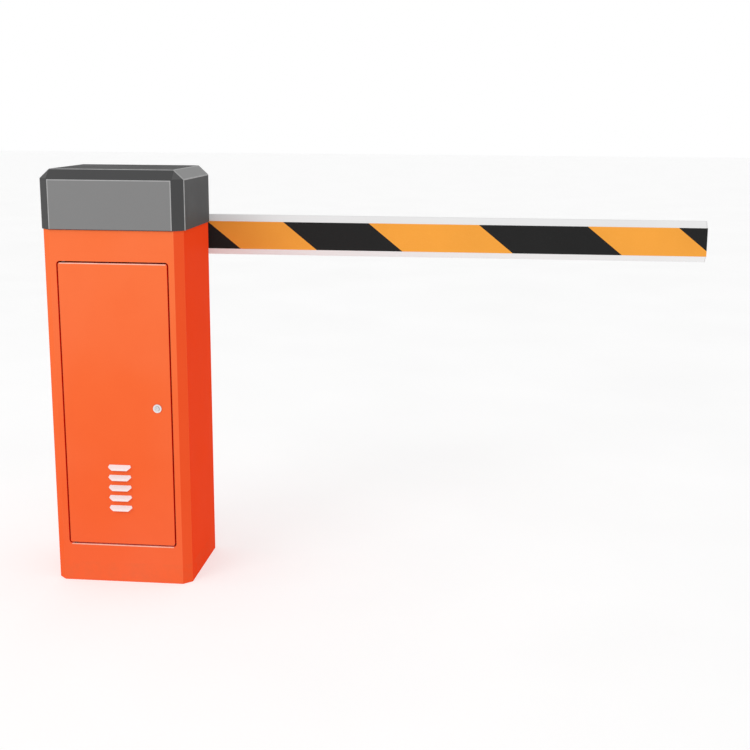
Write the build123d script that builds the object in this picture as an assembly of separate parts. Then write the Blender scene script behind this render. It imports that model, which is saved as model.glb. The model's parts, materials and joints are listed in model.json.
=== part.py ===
from build123d import *
import os
from math import cos, hypot, pi, radians, sin, sqrt, tan

# Parking barrier gate, in millimetres. The origin is on the ground at the middle of the base.
# +X runs along the closed boom, +Y goes back from the door, +Z is up.

# ---- fits and clearances
RUN = 0.05          # radial clearance of a turning fit
SEAT = 0.05         # radial clearance of a fixed fit
HOLE = 0.5          # radial clearance of a bolt in a plain hole
APART = 0.3         # gap between faces that only stand beside each other

# ---- cabinet
BODY_WIDTH = 335.0
BODY_DEPTH = 280.0
BODY_CORNER = 19.5
SHEET = 2.0
TOP_FLANGE = 25.0
TOTAL_HEIGHT = 1000.0
HOOD_HEIGHT = 139.0
HOOD_LAP = 17.0
HOOD_GAP = 2.0
HOOD_WALL = 2.0
HOOD_BEVEL = 24.0
HOOD_DROP = 22.0
HOOD_ANGLE = 3.0
HOOD_ANGLE_HIGH = 22.0
SCREW = 6.0
SEAL_THICK = 3.0
SEAL_HALF_WIDTH = 52.0
SEAL_HALF_HEIGHT = 37.0
PANEL_MARGIN = 1.5
PANEL_THICK = 1.0
BASE_THICK = 6.0
ANCHOR_INSET_X = 42.5
ANCHOR_INSET_Y = 80.0
ANCHOR_RADIUS = 7.0
CABLE_ENTRY_RADIUS = 40.0

# ---- door
DOOR_SIDE = 37.5
DOOR_LOW = 98.0
DOOR_BELOW_HOOD = 77.0
DOOR_CORNER = 4.0
DOOR_GAP = 4.0
DOOR_RETURN = 15.0
FRAME_RETURN = 20.0
HINGE_INSET = 12.0
HINGE_DEPTH = 8.0
HINGE_RADIUS = 4.0
LOCK_INSET = 32.5
LOCK_BELOW_MIDDLE = 1.0
LOCK_RADIUS = 10.5
PLUG_RADIUS = 4.5
LOCK_GROOVE = 1.5
CAM_REACH = 28.0
CAM_GAP = 1.0
LOUVRE_COUNT = 5
LOUVRE_ABOVE_DOOR = 91.0
LOUVRE_PITCH = 25.5
LOUVRE_WIDTH = 56.0
LOUVRE_FOOT = 37.0
LOUVRE_SHOULDER = 0.1
LOUVRE_BLUNT = 2.5
LOUVRE_HEIGHT = 13.5
LOUVRE_RISE = 7.0
LOUVRE_WALL = 1.5

# ---- boom
BOOM_BELOW_HOOD = 39.5
BOOM_GAP = 50.0
BOOM_HEIGHT = 102.0
BOOM_THICK = 45.0
BOOM_CHAMFER = 16.0
BOOM_WALL = 2.5
BOOM_BUTT = 120.0
BOOM_END = 1405.0
CAP_THICK = 2.0
CAP_PLUG = 20.0
TAPE_THICK = 0.3
TAPE_FROM_HOLDER = 5.0
STRIPE_EDGES = (192.0, 389.0, 608.0, 886.0, 1156.0, 1378.0)
STRIPE_LEAN = 51.0

# ---- boom holder and hub
HOLDER_LENGTH = 240.0
HOLDER_ABOVE = 27.0
HOLDER_PLATE = 6.0
CLAMP_BOLT_X = 95.0
CLAMP_BOLT_ABOVE = 17.0
CLAMP_BOLT = 10.0
HUB_DISC_RADIUS = 60.0
HUB_DISC = 12.0
HUB_RADIUS = 30.0
HUB_LENGTH = 26.0
HUB_BOLT_CIRCLE = 45.0

# ---- chassis and bearings
CHASSIS_INSET = 56.0
CHASSIS_SIDE = 32.5
CHASSIS_THICK = 8.0
CHASSIS_ABOVE = 44.5
FOOT_DEPTH = 40.0
FOOT_BOLT = 10.0
PLATE_SPACING = 122.0
FRONT_PLATE_WIDTH = 220.0
FRONT_PLATE_BELOW = 88.0
SPACER_RADIUS = 8.0
SPACER_BOLT = 8.0
SPACER_PLACES = ((96.0, -64.5), (96.0, 33.5), (-34.0, -76.0))
BEARING_SPACING = 117.0
BEARING_FLANGE = 12.0
BEARING_DEPTH = 28.0
BEARING_BOSS = 36.0
INSERT_RADIUS = 31.0
INSERT_WIDTH = 32.0
BEARING_BOLT = 12.0

# ---- main shaft and its arms
SHAFT_RADIUS = 15.0
SHAFT_STUB = 6.0
KEY_WIDTH = 8.0
KEY_SINK = 4.0
KEY_RISE = 3.0
ROCKER_RADIUS = 70.0
ROCKER_FROM_CHASSIS = 94.0
ROCKER_THICK = 16.0
ARM_ANGLE = 45.0
ARM_HUB_WALL = 11.0
PIN_RADIUS = 8.0
PIN_HEAD = 1.5
SPRING_PAST_GEARBOX = 6.54
LEVER_FROM_CHASSIS = 53.0
LEVER_THICK = 12.0
SPRING_SPREAD = 23.0
SPRING_PIN_RADIUS = 7.0
STOP_FROM_CHASSIS = 28.0
STOP_THICK = 14.0
STOP_REACH = 62.0
STOP_WIDTH = 24.0
BUFFER_RADIUS = 12.0
BUFFER_LENGTH = 20.0
BUFFER_RADIUS_AT = 48.0
FLAG_REACH = 66.0
FLAG_WIDTH = 20.0
FLAG_THICK = 3.0
FLAG_FROM_BEARING = 12.0
SENSOR_RADIUS = 6.0
SENSOR_RING = 57.0
SENSOR_ANGLE = 22.5
SENSOR_GAP = 3.0

# ---- connecting rod
ROD_LENGTH = 350.0
ROD_GAP = 4.0
ROD_THICK = 14.0
ROD_RADIUS = 10.0
ROD_EYE_WALL = 8.0
ROD_SHANK = 7.0
ROD_EYE_LENGTH = 44.0
OPEN_PIVOT = 0.10

# ---- balance springs
SPRING_OUTER = 15.0
SPRING_WIRE = 4.5
SPRING_LOW = 100.0
SPRING_DROP = 60.0
PLUG_DEPTH = 34.0
STUD_RADIUS = 6.0
ANCHOR_PLATE_LOW = 60.0
ANCHOR_PLATE = 12.0

# ---- gear motor
WHEEL_RADIUS = 45.0
WHEEL_THICK = 24.0
WHEEL_FROM_CHASSIS = 54.0
WORM_RADIUS = 14.0
WORM_LENGTH = 80.0
MOTOR_SHAFT = 6.0
OUTPUT_RADIUS = 12.5
GEARBOX_DEPTH = 70.0
GEARBOX_WALL = 7.0
GEARBOX_UNDER_WHEEL = 21.0
GEARBOX_OVER_WHEEL = 15.0
COVER_THICK = 6.0
MOTOR_RADIUS = 40.0
MOTOR_WALL = 4.0
MOTOR_LENGTH = 150.0
MOTOR_CAP = 8.0
ARMATURE_RADIUS = 30.0

# ---- control box
BOX_DEPTH = 44.0
BOX_FROM_DOOR = 30.0
BOX_LENGTH = 160.0
BOX_BELOW_CRANK = 51.5
BOX_HEIGHT = 260.0
BOX_WALL = 2.5
LID_THICK = 4.0
BOARD_MARGIN = 12.0
BOARD_ABOVE = 60.0
BOARD_THICK = 1.6
GLAND_RADIUS = 9.0
CABLE_RADIUS = 4.0

# ---- places that follow from the sizes
FRONT = -BODY_DEPTH / 2
BACK = BODY_DEPTH / 2
HOOD_LOW = TOTAL_HEIGHT - HOOD_HEIGHT
BODY_TOP = HOOD_LOW + HOOD_LAP
ANCHOR_X = BODY_WIDTH / 2 - ANCHOR_INSET_X
ANCHOR_Y = BODY_DEPTH / 2 - ANCHOR_INSET_Y
DOOR_WIDTH = BODY_WIDTH - 2 * DOOR_SIDE
DOOR_HIGH = HOOD_LOW - DOOR_BELOW_HOOD
RIM_BACK = FRONT + SHEET + FRAME_RETURN
HINGE_X = -DOOR_WIDTH / 2 + HINGE_INSET
HINGE_Y = FRONT + HINGE_DEPTH
LOCK_X = DOOR_WIDTH / 2 - LOCK_INSET
LOCK_Z = (DOOR_LOW + DOOR_HIGH) / 2 - LOCK_BELOW_MIDDLE
CAM_FRONT = RIM_BACK + APART + SHEET + CAM_GAP
LOUVRE_LOW = DOOR_LOW + LOUVRE_ABOVE_DOOR
BOOM_AXIS_Z = HOOD_LOW - BOOM_BELOW_HOOD
BOOM_FRONT = BACK + BOOM_GAP
HOLDER_HEIGHT = BOOM_HEIGHT + 2 * HOLDER_ABOVE
CLAMP_BOLT_Z = BOOM_HEIGHT / 2 + CLAMP_BOLT_ABOVE
TAPE_START = HOLDER_LENGTH / 2 + TAPE_FROM_HOLDER
CHASSIS_FRONT = BACK - CHASSIS_INSET
CHASSIS_BACK = CHASSIS_FRONT + CHASSIS_THICK
CHASSIS_WIDTH = BODY_WIDTH - 2 * CHASSIS_SIDE
CHASSIS_HIGH = BOOM_AXIS_Z + CHASSIS_ABOVE
FRONT_PLATE_BACK = CHASSIS_FRONT - PLATE_SPACING
FRONT_PLATE_FRONT = FRONT_PLATE_BACK - CHASSIS_THICK
FRONT_PLATE_LOW = BOOM_AXIS_Z - FRONT_PLATE_BELOW
SPACER_POINTS = tuple((x, BOOM_AXIS_Z + z) for x, z in SPACER_PLACES)
ARM_HUB = SHAFT_RADIUS + ARM_HUB_WALL
ROCKER_FRONT = CHASSIS_FRONT - ROCKER_FROM_CHASSIS
LEVER_FRONT = CHASSIS_FRONT - LEVER_FROM_CHASSIS
STOP_FRONT = CHASSIS_FRONT - STOP_FROM_CHASSIS
ROD_BACK = ROCKER_FRONT - ROD_GAP
ROD_EYE = PIN_RADIUS + ROD_EYE_WALL
GEARBOX_FRONT = CHASSIS_FRONT - GEARBOX_DEPTH
WHEEL_FRONT = CHASSIS_FRONT - WHEEL_FROM_CHASSIS
ROCKER_X = ROCKER_RADIUS * cos(radians(ARM_ANGLE))
ROCKER_Z = BOOM_AXIS_Z - ROCKER_RADIUS * sin(radians(ARM_ANGLE))
CRANK_AXIS_Z = BOOM_AXIS_Z - ROD_LENGTH
CRANK_Z = ROCKER_Z - ROD_LENGTH
ROD_FRONT = ROD_BACK - ROD_THICK
SPRING_X = -WHEEL_RADIUS - GEARBOX_WALL - SPRING_OUTER - SPRING_PAST_GEARBOX
SPRING_ARM = -SPRING_X / cos(radians(ARM_ANGLE))
SPRING_PIN_Z = BOOM_AXIS_Z + SPRING_ARM * sin(radians(ARM_ANGLE))
SPRING_TOP = SPRING_PIN_Z - SPRING_DROP
SPRING_MID_Y = LEVER_FRONT + LEVER_THICK / 2
SPRING_ROWS = (SPRING_MID_Y - SPRING_SPREAD, SPRING_MID_Y + SPRING_SPREAD)
COIL_INNER = SPRING_OUTER - SPRING_WIRE
WORM_X = WHEEL_RADIUS + WORM_RADIUS + APART
WORM_Y = WHEEL_FRONT + WHEEL_THICK / 2
GEARBOX_LOW = CRANK_AXIS_Z - WHEEL_RADIUS - GEARBOX_UNDER_WHEEL
GEARBOX_HIGH = CRANK_AXIS_Z + WHEEL_RADIUS + GEARBOX_OVER_WHEEL
MOTOR_LOW = GEARBOX_LOW - MOTOR_LENGTH
BOOM_BACK = BOOM_FRONT + BOOM_THICK
HOLDER_FRONT = BOOM_FRONT - HOLDER_PLATE
HUB_DISC_FRONT = HOLDER_FRONT - HUB_DISC
HUB_FRONT = HUB_DISC_FRONT - HUB_LENGTH
FLAG_FRONT = FRONT_PLATE_FRONT - BEARING_DEPTH - FLAG_FROM_BEARING
SHAFT_FRONT = FLAG_FRONT - SHAFT_STUB
BOX_FRONT = FRONT + BOX_FROM_DOOR
BOX_LOW = CRANK_AXIS_Z - BOX_BELOW_CRANK
BOX_HIGH = BOX_LOW + BOX_HEIGHT
BOX_BACK_X = -BODY_WIDTH / 2 + SHEET
BOX_FACE_X = BOX_BACK_X + BOX_DEPTH


# ---- shape helpers
def block(x0, x1, y0, y1, z0, z1):
    """Box between two corners."""
    middle = Pos((x0 + x1) / 2, (y0 + y1) / 2, (z0 + z1) / 2)
    return middle * Box(x1 - x0, y1 - y0, z1 - z0)


def rod_x(radius, x0, x1, y, z):
    """Round bar along X."""
    return Pos((x0 + x1) / 2, y, z) * Rot(0, 90, 0) * Cylinder(radius, x1 - x0)


def rod_y(radius, x, y0, y1, z):
    """Round bar along Y."""
    return Pos(x, (y0 + y1) / 2, z) * Rot(90, 0, 0) * Cylinder(radius, y1 - y0)


def rod_z(radius, x, y, z0, z1):
    """Round bar along Z."""
    return Pos(x, y, (z0 + z1) / 2) * Cylinder(radius, z1 - z0)


def octagon(width, depth, corner):
    """Rectangle with cut corners, in the XY plane."""
    x = width / 2
    y = depth / 2
    points = [
        (x, corner - y), (x, y - corner), (x - corner, y), (corner - x, y),
        (-x, y - corner), (-x, corner - y), (corner - x, -y), (x - corner, -y),
    ]
    return Face(Wire.make_polygon([Vector(*p, 0) for p in points]))


def octagon_inside(width, depth, corner, wall):
    """The same outline moved in by the wall on every side."""
    return octagon(width - 2 * wall, depth - 2 * wall, corner - wall * (2 - sqrt(2)))


def upright(face, z0, z1):
    """Extrude a flat outline from one height to another."""
    return Pos(0, 0, z0) * extrude(face, z1 - z0, dir=(0, 0, 1))


def hull_arm(x, z, angle, length, y0, y1, hub, tip):
    """Flat arm from a hub at x, z to a rounded tip, its outline the hull of two circles."""
    outline = make_hull((Circle(hub) + Pos(length, 0) * Circle(tip)).edges())
    plate = extrude(outline, y1 - y0)
    return Pos(x, y1, z) * Rot(0, -angle, 0) * Rot(90, 0, 0) * plate


def hex_bolt(place, size, length):
    """Hexagon bolt: the head's underside is at the place, and the shank goes down its -Z."""
    head = extrude(RegularPolygon(0.92 * size, 6), 0.65 * size)
    shank = Pos(0, 0, -length / 2) * Cylinder(size / 2, length)
    return place * (head + shank)


def hex_nut(place, size, bore):
    """Hexagon nut that sits on the place and rises along its +Z."""
    return place * extrude(RegularPolygon(0.92 * size, 6) - Circle(bore), 0.8 * size)


def facing(x, y, z, direction):
    """Place whose +Z points in the direction."""
    return Plane(origin=(x, y, z), z_dir=direction).location


def group(solids):
    """Several separate solids in one node."""
    return Compound(list(solids))


def key_block(y0, y1, grow=0.0):
    """Parallel key on top of the main shaft."""
    low = BOOM_AXIS_Z + SHAFT_RADIUS - KEY_SINK
    high = BOOM_AXIS_Z + SHAFT_RADIUS + KEY_RISE
    half = KEY_WIDTH / 2 + grow
    return block(-half, half, y0 - grow, y1 + grow, low - grow, high + grow)


# ---- cabinet
def base_plate():
    outline = octagon_inside(BODY_WIDTH, BODY_DEPTH, BODY_CORNER, SHEET + APART / 2)
    plate = upright(outline, 0, BASE_THICK)
    plate -= rod_z(CABLE_ENTRY_RADIUS, 0, 0, -1, BASE_THICK + 1)
    for x in (-ANCHOR_X, ANCHOR_X):
        for y in (-ANCHOR_Y, ANCHOR_Y):
            plate -= rod_z(ANCHOR_RADIUS, x, y, -1, BASE_THICK + 1)
    for x in foot_bolt_columns():
        plate -= rod_z(FOOT_BOLT / 2 + SEAT, x, foot_bolt_row(), -1, BASE_THICK + 1)
    return plate


def foot_bolt_columns():
    return (-CHASSIS_WIDTH / 3, 0, CHASSIS_WIDTH / 3)


def foot_bolt_row():
    return CHASSIS_BACK + FOOT_DEPTH / 2


def door_block(grow, y0, y1):
    """Upright block with rounded corners: the door's outline grown on every side."""
    outline = RectangleRounded(DOOR_WIDTH + 2 * grow, DOOR_HIGH - DOOR_LOW + 2 * grow, DOOR_CORNER + grow)
    return Pos(0, y1, (DOOR_LOW + DOOR_HIGH) / 2) * Rot(90, 0, 0) * extrude(outline, y1 - y0)


def cabinet_shell():
    outer = octagon(BODY_WIDTH, BODY_DEPTH, BODY_CORNER)
    inner = octagon_inside(BODY_WIDTH, BODY_DEPTH, BODY_CORNER, SHEET)
    shell = upright(outer - inner, 0, BODY_TOP)
    brim = octagon_inside(BODY_WIDTH, BODY_DEPTH, BODY_CORNER, TOP_FLANGE)
    shell += upright(outer - brim, BODY_TOP - SHEET, BODY_TOP)
    shell += door_block(DOOR_GAP + SHEET, FRONT + SHEET / 2, RIM_BACK)
    shell -= door_block(DOOR_GAP, FRONT - 1, RIM_BACK + 1)
    shell -= rod_y(HUB_RADIUS, 0, BACK - SHEET - 1, BACK + 1, BOOM_AXIS_Z)
    rim = DOOR_GAP + SHEET + 1
    shell -= rod_z(HINGE_RADIUS + SEAT, HINGE_X, HINGE_Y, DOOR_LOW - rim, DOOR_HIGH + rim)
    for x in seal_screw_columns():
        shell -= rod_y(SCREW / 2 + SEAT, x, BACK - SHEET - 1, BACK + 1, BOOM_AXIS_Z)
    for x, y in hood_screw_points():
        shell -= rod_z(SCREW / 2 + SEAT, x, y, BODY_TOP - SHEET - 1, BODY_TOP + 1)
    return shell


def hinge_pins():
    """Two headed pins through the rim of the opening, one up into the door and one down."""
    low = DOOR_LOW - DOOR_GAP - SHEET
    high = DOOR_HIGH + DOOR_GAP + SHEET
    reach = DOOR_GAP + 2 * SHEET + 8.0
    lower = rod_z(HINGE_RADIUS, HINGE_X, HINGE_Y, low, low + reach)
    lower += rod_z(HINGE_RADIUS + 2, HINGE_X, HINGE_Y, low - 3, low)
    upper = rod_z(HINGE_RADIUS, HINGE_X, HINGE_Y, high - reach, high)
    upper += rod_z(HINGE_RADIUS + 2, HINGE_X, HINGE_Y, high, high + 3)
    return group([lower, upper])


def strike_plate():
    """Angle on the rim of the opening that the lock's cam turns behind."""
    wall = DOOR_WIDTH / 2 + DOOR_GAP + SHEET
    back = RIM_BACK + APART + SHEET
    leg = block(wall, wall + SHEET, RIM_BACK - 14, back, LOCK_Z - 18, LOCK_Z + 18)
    catch = block(LOCK_X + CAM_REACH - 12, wall + SHEET, back - SHEET, back, LOCK_Z - 18, LOCK_Z + 18)
    return leg + catch


def seal_screw_columns():
    return (-HUB_RADIUS - 9, HUB_RADIUS + 9)


def shaft_seal_plate():
    """Plate on the back wall around the main shaft."""
    plate = block(-SEAL_HALF_WIDTH, SEAL_HALF_WIDTH, BACK, BACK + SEAL_THICK,
                  BOOM_AXIS_Z - SEAL_HALF_HEIGHT, BOOM_AXIS_Z + SEAL_HALF_HEIGHT)
    plate -= rod_y(SHAFT_RADIUS + 2, 0, BACK - 1, BACK + SEAL_THICK + 1, BOOM_AXIS_Z)
    for x in seal_screw_columns():
        plate -= rod_y(SCREW / 2 + HOLE / 2, x, BACK - 1, BACK + SEAL_THICK + 1, BOOM_AXIS_Z)
    return plate


# ---- hood
def faceted_cap(half_x, half_y, bevel, low, shoulder, top):
    """Upright block with bevelled corners and a sloped shoulder that ends in a plain rectangle."""
    rim = []
    crown = []
    for i, (sx, sy) in enumerate([(1, 1), (-1, 1), (-1, -1), (1, -1)]):
        side = (sx * half_x, sy * (half_y - bevel))
        end = (sx * (half_x - bevel), sy * half_y)
        rim += [side, end] if i % 2 == 0 else [end, side]
        crown.append((sx * (half_x - bevel), sy * (half_y - bevel), top))
    lower = [(x, y, low) for x, y in rim]
    upper = [(x, y, shoulder) for x, y in rim]
    outlines = [lower, crown]
    for i in range(8):
        j = (i + 1) % 8
        outlines.append([lower[i], lower[j], upper[j], upper[i]])
    for k in range(4):
        outlines.append([upper[2 * k], upper[2 * k + 1], crown[k]])
        outlines.append([upper[2 * k + 1], upper[(2 * k + 2) % 8], crown[(k + 1) % 4], crown[k]])
    faces = [Face(Wire.make_polygon([Vector(*p) for p in outline])) for outline in outlines]
    return Solid(Shell(faces))


def hood_half_sizes():
    over = HOOD_GAP + HOOD_WALL
    return BODY_WIDTH / 2 + over, BODY_DEPTH / 2 + over


def hood_shell():
    half_x, half_y = hood_half_sizes()
    shoulder = TOTAL_HEIGHT - HOOD_DROP
    outer = faceted_cap(half_x, half_y, HOOD_BEVEL, HOOD_LOW, shoulder, TOTAL_HEIGHT)
    slope = hypot(HOOD_BEVEL, HOOD_DROP)
    bevel = HOOD_BEVEL - HOOD_WALL * (1 - (slope - HOOD_BEVEL) / HOOD_DROP)
    inner_shoulder = shoulder - HOOD_WALL * (slope - HOOD_DROP) / HOOD_BEVEL
    inner = faceted_cap(half_x - HOOD_WALL, half_y - HOOD_WALL, bevel, HOOD_LOW - 1,
                        inner_shoulder, TOTAL_HEIGHT - HOOD_WALL)
    return outer - inner


def hood_front_panel():
    half_x, half_y = hood_half_sizes()
    side = half_x - HOOD_BEVEL - PANEL_MARGIN
    low = HOOD_LOW + PANEL_MARGIN
    high = TOTAL_HEIGHT - HOOD_DROP - PANEL_MARGIN
    return block(-side, side, -half_y - PANEL_THICK, -half_y, low, high)


def hood_support_frame():
    """Angle ring inside the hood that lies on the body's top flange."""
    half_x, half_y = hood_half_sizes()
    outline = octagon_inside(2 * half_x, 2 * half_y, HOOD_BEVEL, HOOD_WALL)
    ring = outline - octagon(BODY_WIDTH - 2 * TOP_FLANGE, BODY_DEPTH - 2 * TOP_FLANGE, BODY_CORNER / 2)
    frame = upright(ring, BODY_TOP, BODY_TOP + HOOD_ANGLE)
    lip = outline - octagon_inside(2 * half_x, 2 * half_y, HOOD_BEVEL, HOOD_WALL + HOOD_ANGLE)
    frame += upright(lip, BODY_TOP, BODY_TOP + HOOD_ANGLE_HIGH)
    for x, y in hood_screw_points():
        frame -= rod_z(SCREW / 2 + HOLE / 2, x, y, BODY_TOP - 1, BODY_TOP + HOOD_ANGLE + 1)
    return frame


def hood_screw_points():
    x = BODY_WIDTH / 2 - TOP_FLANGE / 2
    y = BODY_DEPTH / 4
    return [(-x, -y), (-x, y), (x, -y), (x, y)]


def cover_screws():
    """Four screws that hold the hood down and two that hold the seal plate on the back wall."""
    hood = [hex_bolt(facing(x, y, BODY_TOP + HOOD_ANGLE, (0, 0, 1)), SCREW, HOOD_ANGLE + SHEET)
            for x, y in hood_screw_points()]
    seal = [hex_bolt(facing(x, BACK + SEAL_THICK, BOOM_AXIS_Z, (0, 1, 0)), SCREW, SEAL_THICK + SHEET + 2)
            for x in seal_screw_columns()]
    return group(hood + seal)


# ---- chassis
def chassis_plate():
    half = CHASSIS_WIDTH / 2
    plate = block(-half, half, CHASSIS_FRONT, CHASSIS_BACK, BASE_THICK, CHASSIS_HIGH)
    foot_top = BASE_THICK + CHASSIS_THICK
    plate += block(-half, half, CHASSIS_BACK, CHASSIS_BACK + FOOT_DEPTH, BASE_THICK, foot_top)
    for x in foot_bolt_columns():
        plate -= rod_z(FOOT_BOLT / 2 + HOLE, x, foot_bolt_row(), 0, foot_top + 1)
    plate -= rod_y(INSERT_RADIUS + HOLE, 0, CHASSIS_FRONT - 1, CHASSIS_BACK + 1, BOOM_AXIS_Z)
    for x in (-BEARING_SPACING / 2, BEARING_SPACING / 2):
        plate -= rod_y(BEARING_BOLT / 2 + SEAT, x, CHASSIS_FRONT - 1, CHASSIS_BACK + 1, BOOM_AXIS_Z)
    for x, z in SPACER_POINTS:
        plate -= rod_y(SPACER_BOLT / 2 + SEAT, x, CHASSIS_FRONT - 1, CHASSIS_BACK + 1, z)
    return plate


def chassis_bolts():
    """Foot bolts, spacer bolts and bearing bolts."""
    top = BASE_THICK + CHASSIS_THICK
    bolts = [hex_bolt(facing(x, foot_bolt_row(), top, (0, 0, 1)), FOOT_BOLT, top - 0.5)
             for x in foot_bolt_columns()]
    length = CHASSIS_BACK - FRONT_PLATE_FRONT - 0.5
    for x, z in SPACER_POINTS:
        bolts.append(hex_bolt(facing(x, FRONT_PLATE_FRONT, z, (0, -1, 0)), SPACER_BOLT, length))
    for face, side in ((CHASSIS_BACK, 1), (FRONT_PLATE_FRONT, -1)):
        for x in (-BEARING_SPACING / 2, BEARING_SPACING / 2):
            place = facing(x, face + BEARING_FLANGE * side, BOOM_AXIS_Z, (0, side, 0))
            bolts.append(hex_bolt(place, BEARING_BOLT, BEARING_FLANGE + CHASSIS_THICK))
    return group(bolts)


def front_bearing_plate():
    half = FRONT_PLATE_WIDTH / 2
    plate = block(-half, half, FRONT_PLATE_FRONT, FRONT_PLATE_BACK, FRONT_PLATE_LOW, CHASSIS_HIGH)
    plate -= rod_y(INSERT_RADIUS + HOLE, 0, FRONT_PLATE_FRONT - 1, FRONT_PLATE_BACK + 1, BOOM_AXIS_Z)
    for x in (-BEARING_SPACING / 2, BEARING_SPACING / 2):
        plate -= rod_y(BEARING_BOLT / 2 + SEAT, x, FRONT_PLATE_FRONT - 1, FRONT_PLATE_BACK + 1, BOOM_AXIS_Z)
    for x, z in SPACER_POINTS:
        plate -= rod_y(SPACER_BOLT / 2 + HOLE / 2, x, FRONT_PLATE_FRONT - 1, FRONT_PLATE_BACK + 1, z)
    for x, z in sensor_points():
        plate -= rod_y(SENSOR_RADIUS + SEAT, x, FRONT_PLATE_FRONT - 1, FRONT_PLATE_BACK + 1, z)
    return plate


def plate_spacers():
    tubes = []
    bore = SPACER_BOLT / 2 + HOLE / 2
    for x, z in SPACER_POINTS:
        tube = rod_y(SPACER_RADIUS, x, FRONT_PLATE_BACK, CHASSIS_FRONT, z)
        tubes.append(tube - rod_y(bore, x, FRONT_PLATE_BACK - 1, CHASSIS_FRONT + 1, z))
    return group(tubes)


def bearing_housing(face, side):
    """Two-bolt flange housing on a plate face; side is the way it stands out along Y."""
    ears = [Pos(x, 0) * Circle(16) for x in (-BEARING_SPACING / 2, BEARING_SPACING / 2)]
    outline = make_hull((Circle(38) + ears[0] + ears[1]).edges())
    body = extrude(outline, BEARING_FLANGE)
    body += Pos(0, 0, BEARING_DEPTH / 2) * Cylinder(BEARING_BOSS, BEARING_DEPTH)
    body -= Pos(0, 0, BEARING_DEPTH / 2) * Cylinder(INSERT_RADIUS, BEARING_DEPTH + 2)
    for ear in (-BEARING_SPACING / 2, BEARING_SPACING / 2):
        body -= Pos(ear, 0, BEARING_FLANGE / 2) * Cylinder(BEARING_BOLT / 2 + HOLE, BEARING_FLANGE + 2)
    return Pos(0, face, BOOM_AXIS_Z) * Rot(-90 * side, 0, 0) * body


def bearing_housings():
    return group([bearing_housing(CHASSIS_BACK, 1), bearing_housing(FRONT_PLATE_FRONT, -1)])


def shaft_bearings():
    return group([bearing_insert(CHASSIS_BACK, 1), bearing_insert(FRONT_PLATE_FRONT, -1)])


def bearing_insert(face, side):
    y0 = face - 2 * side
    y1 = face + (INSERT_WIDTH - 2) * side
    ring = rod_y(INSERT_RADIUS - SEAT, 0, min(y0, y1), max(y0, y1), BOOM_AXIS_Z)
    return ring - rod_y(SHAFT_RADIUS + RUN, 0, min(y0, y1) - 1, max(y0, y1) + 1, BOOM_AXIS_Z)


def buffer_brackets():
    near = STOP_WIDTH / 2 + BUFFER_LENGTH + APART
    lower = block(-near - 8, -near, STOP_FRONT - 4, CHASSIS_FRONT, BOOM_AXIS_Z - BUFFER_RADIUS_AT - 14,
                  BOOM_AXIS_Z - BUFFER_RADIUS_AT + 14)
    upper = block(BUFFER_RADIUS_AT - 14, BUFFER_RADIUS_AT + 14, STOP_FRONT - 4, CHASSIS_FRONT,
                  BOOM_AXIS_Z + near, BOOM_AXIS_Z + near + 8)
    return group([lower, upper])


def end_buffers():
    near = STOP_WIDTH / 2 + APART
    far = near + BUFFER_LENGTH
    y = STOP_FRONT + STOP_THICK / 2
    shut = rod_x(BUFFER_RADIUS, -far, -near, y, BOOM_AXIS_Z - BUFFER_RADIUS_AT)
    open_end = rod_z(BUFFER_RADIUS, BUFFER_RADIUS_AT, y, BOOM_AXIS_Z + near, BOOM_AXIS_Z + far)
    return group([shut, open_end])


def sensor_points():
    lift = SENSOR_RING * cos(radians(SENSOR_ANGLE))
    side = SENSOR_RING * sin(radians(SENSOR_ANGLE))
    return ((-side, BOOM_AXIS_Z - lift), (side, BOOM_AXIS_Z - lift))


def limit_sensors():
    face = FLAG_FRONT + FLAG_THICK + SENSOR_GAP
    barrels = []
    for x, z in sensor_points():
        barrel = rod_y(SENSOR_RADIUS, x, face, FRONT_PLATE_BACK + 6, z)
        nut = hex_nut(facing(x, FRONT_PLATE_FRONT, z, (0, -1, 0)), 10.0, SENSOR_RADIUS + SEAT)
        barrels += [barrel, nut]
    return group(barrels)


# ---- gear motor
def gearbox_housing():
    left = -WHEEL_RADIUS - GEARBOX_WALL
    right = WORM_X + WORM_RADIUS + GEARBOX_WALL + 5
    body = block(left, right, GEARBOX_FRONT, CHASSIS_FRONT, GEARBOX_LOW, GEARBOX_HIGH)
    body -= rod_y(WHEEL_RADIUS + 1.5, 0, GEARBOX_FRONT - 1, CHASSIS_FRONT - 14, CRANK_AXIS_Z)
    body -= rod_y(OUTPUT_RADIUS + RUN, 0, CHASSIS_FRONT - 15, CHASSIS_FRONT - 4, CRANK_AXIS_Z)
    worm_top = CRANK_AXIS_Z + WORM_LENGTH / 2 + 4
    body -= rod_z(WORM_RADIUS + 2, WORM_X, WORM_Y, CRANK_AXIS_Z - WORM_LENGTH / 2 - 4, worm_top)
    body -= rod_z(MOTOR_SHAFT + RUN, WORM_X, WORM_Y, GEARBOX_LOW - 1, GEARBOX_HIGH + 1)
    body = fillet(body.edges().filter_by(Axis.Y).group_by(Axis.Z)[-1].sort_by(Axis.X)[0], 12)
    return body


def gearbox_cover():
    front = GEARBOX_FRONT - COVER_THICK
    cover = rod_y(WHEEL_RADIUS + GEARBOX_WALL - 0.5, 0, front, GEARBOX_FRONT, CRANK_AXIS_Z)
    return cover - rod_y(OUTPUT_RADIUS + RUN, 0, front - 1, GEARBOX_FRONT + 1, CRANK_AXIS_Z)


def output_shaft():
    return rod_y(OUTPUT_RADIUS, 0, ROCKER_FRONT - 2, CHASSIS_FRONT - 4.5, CRANK_AXIS_Z)


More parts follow.
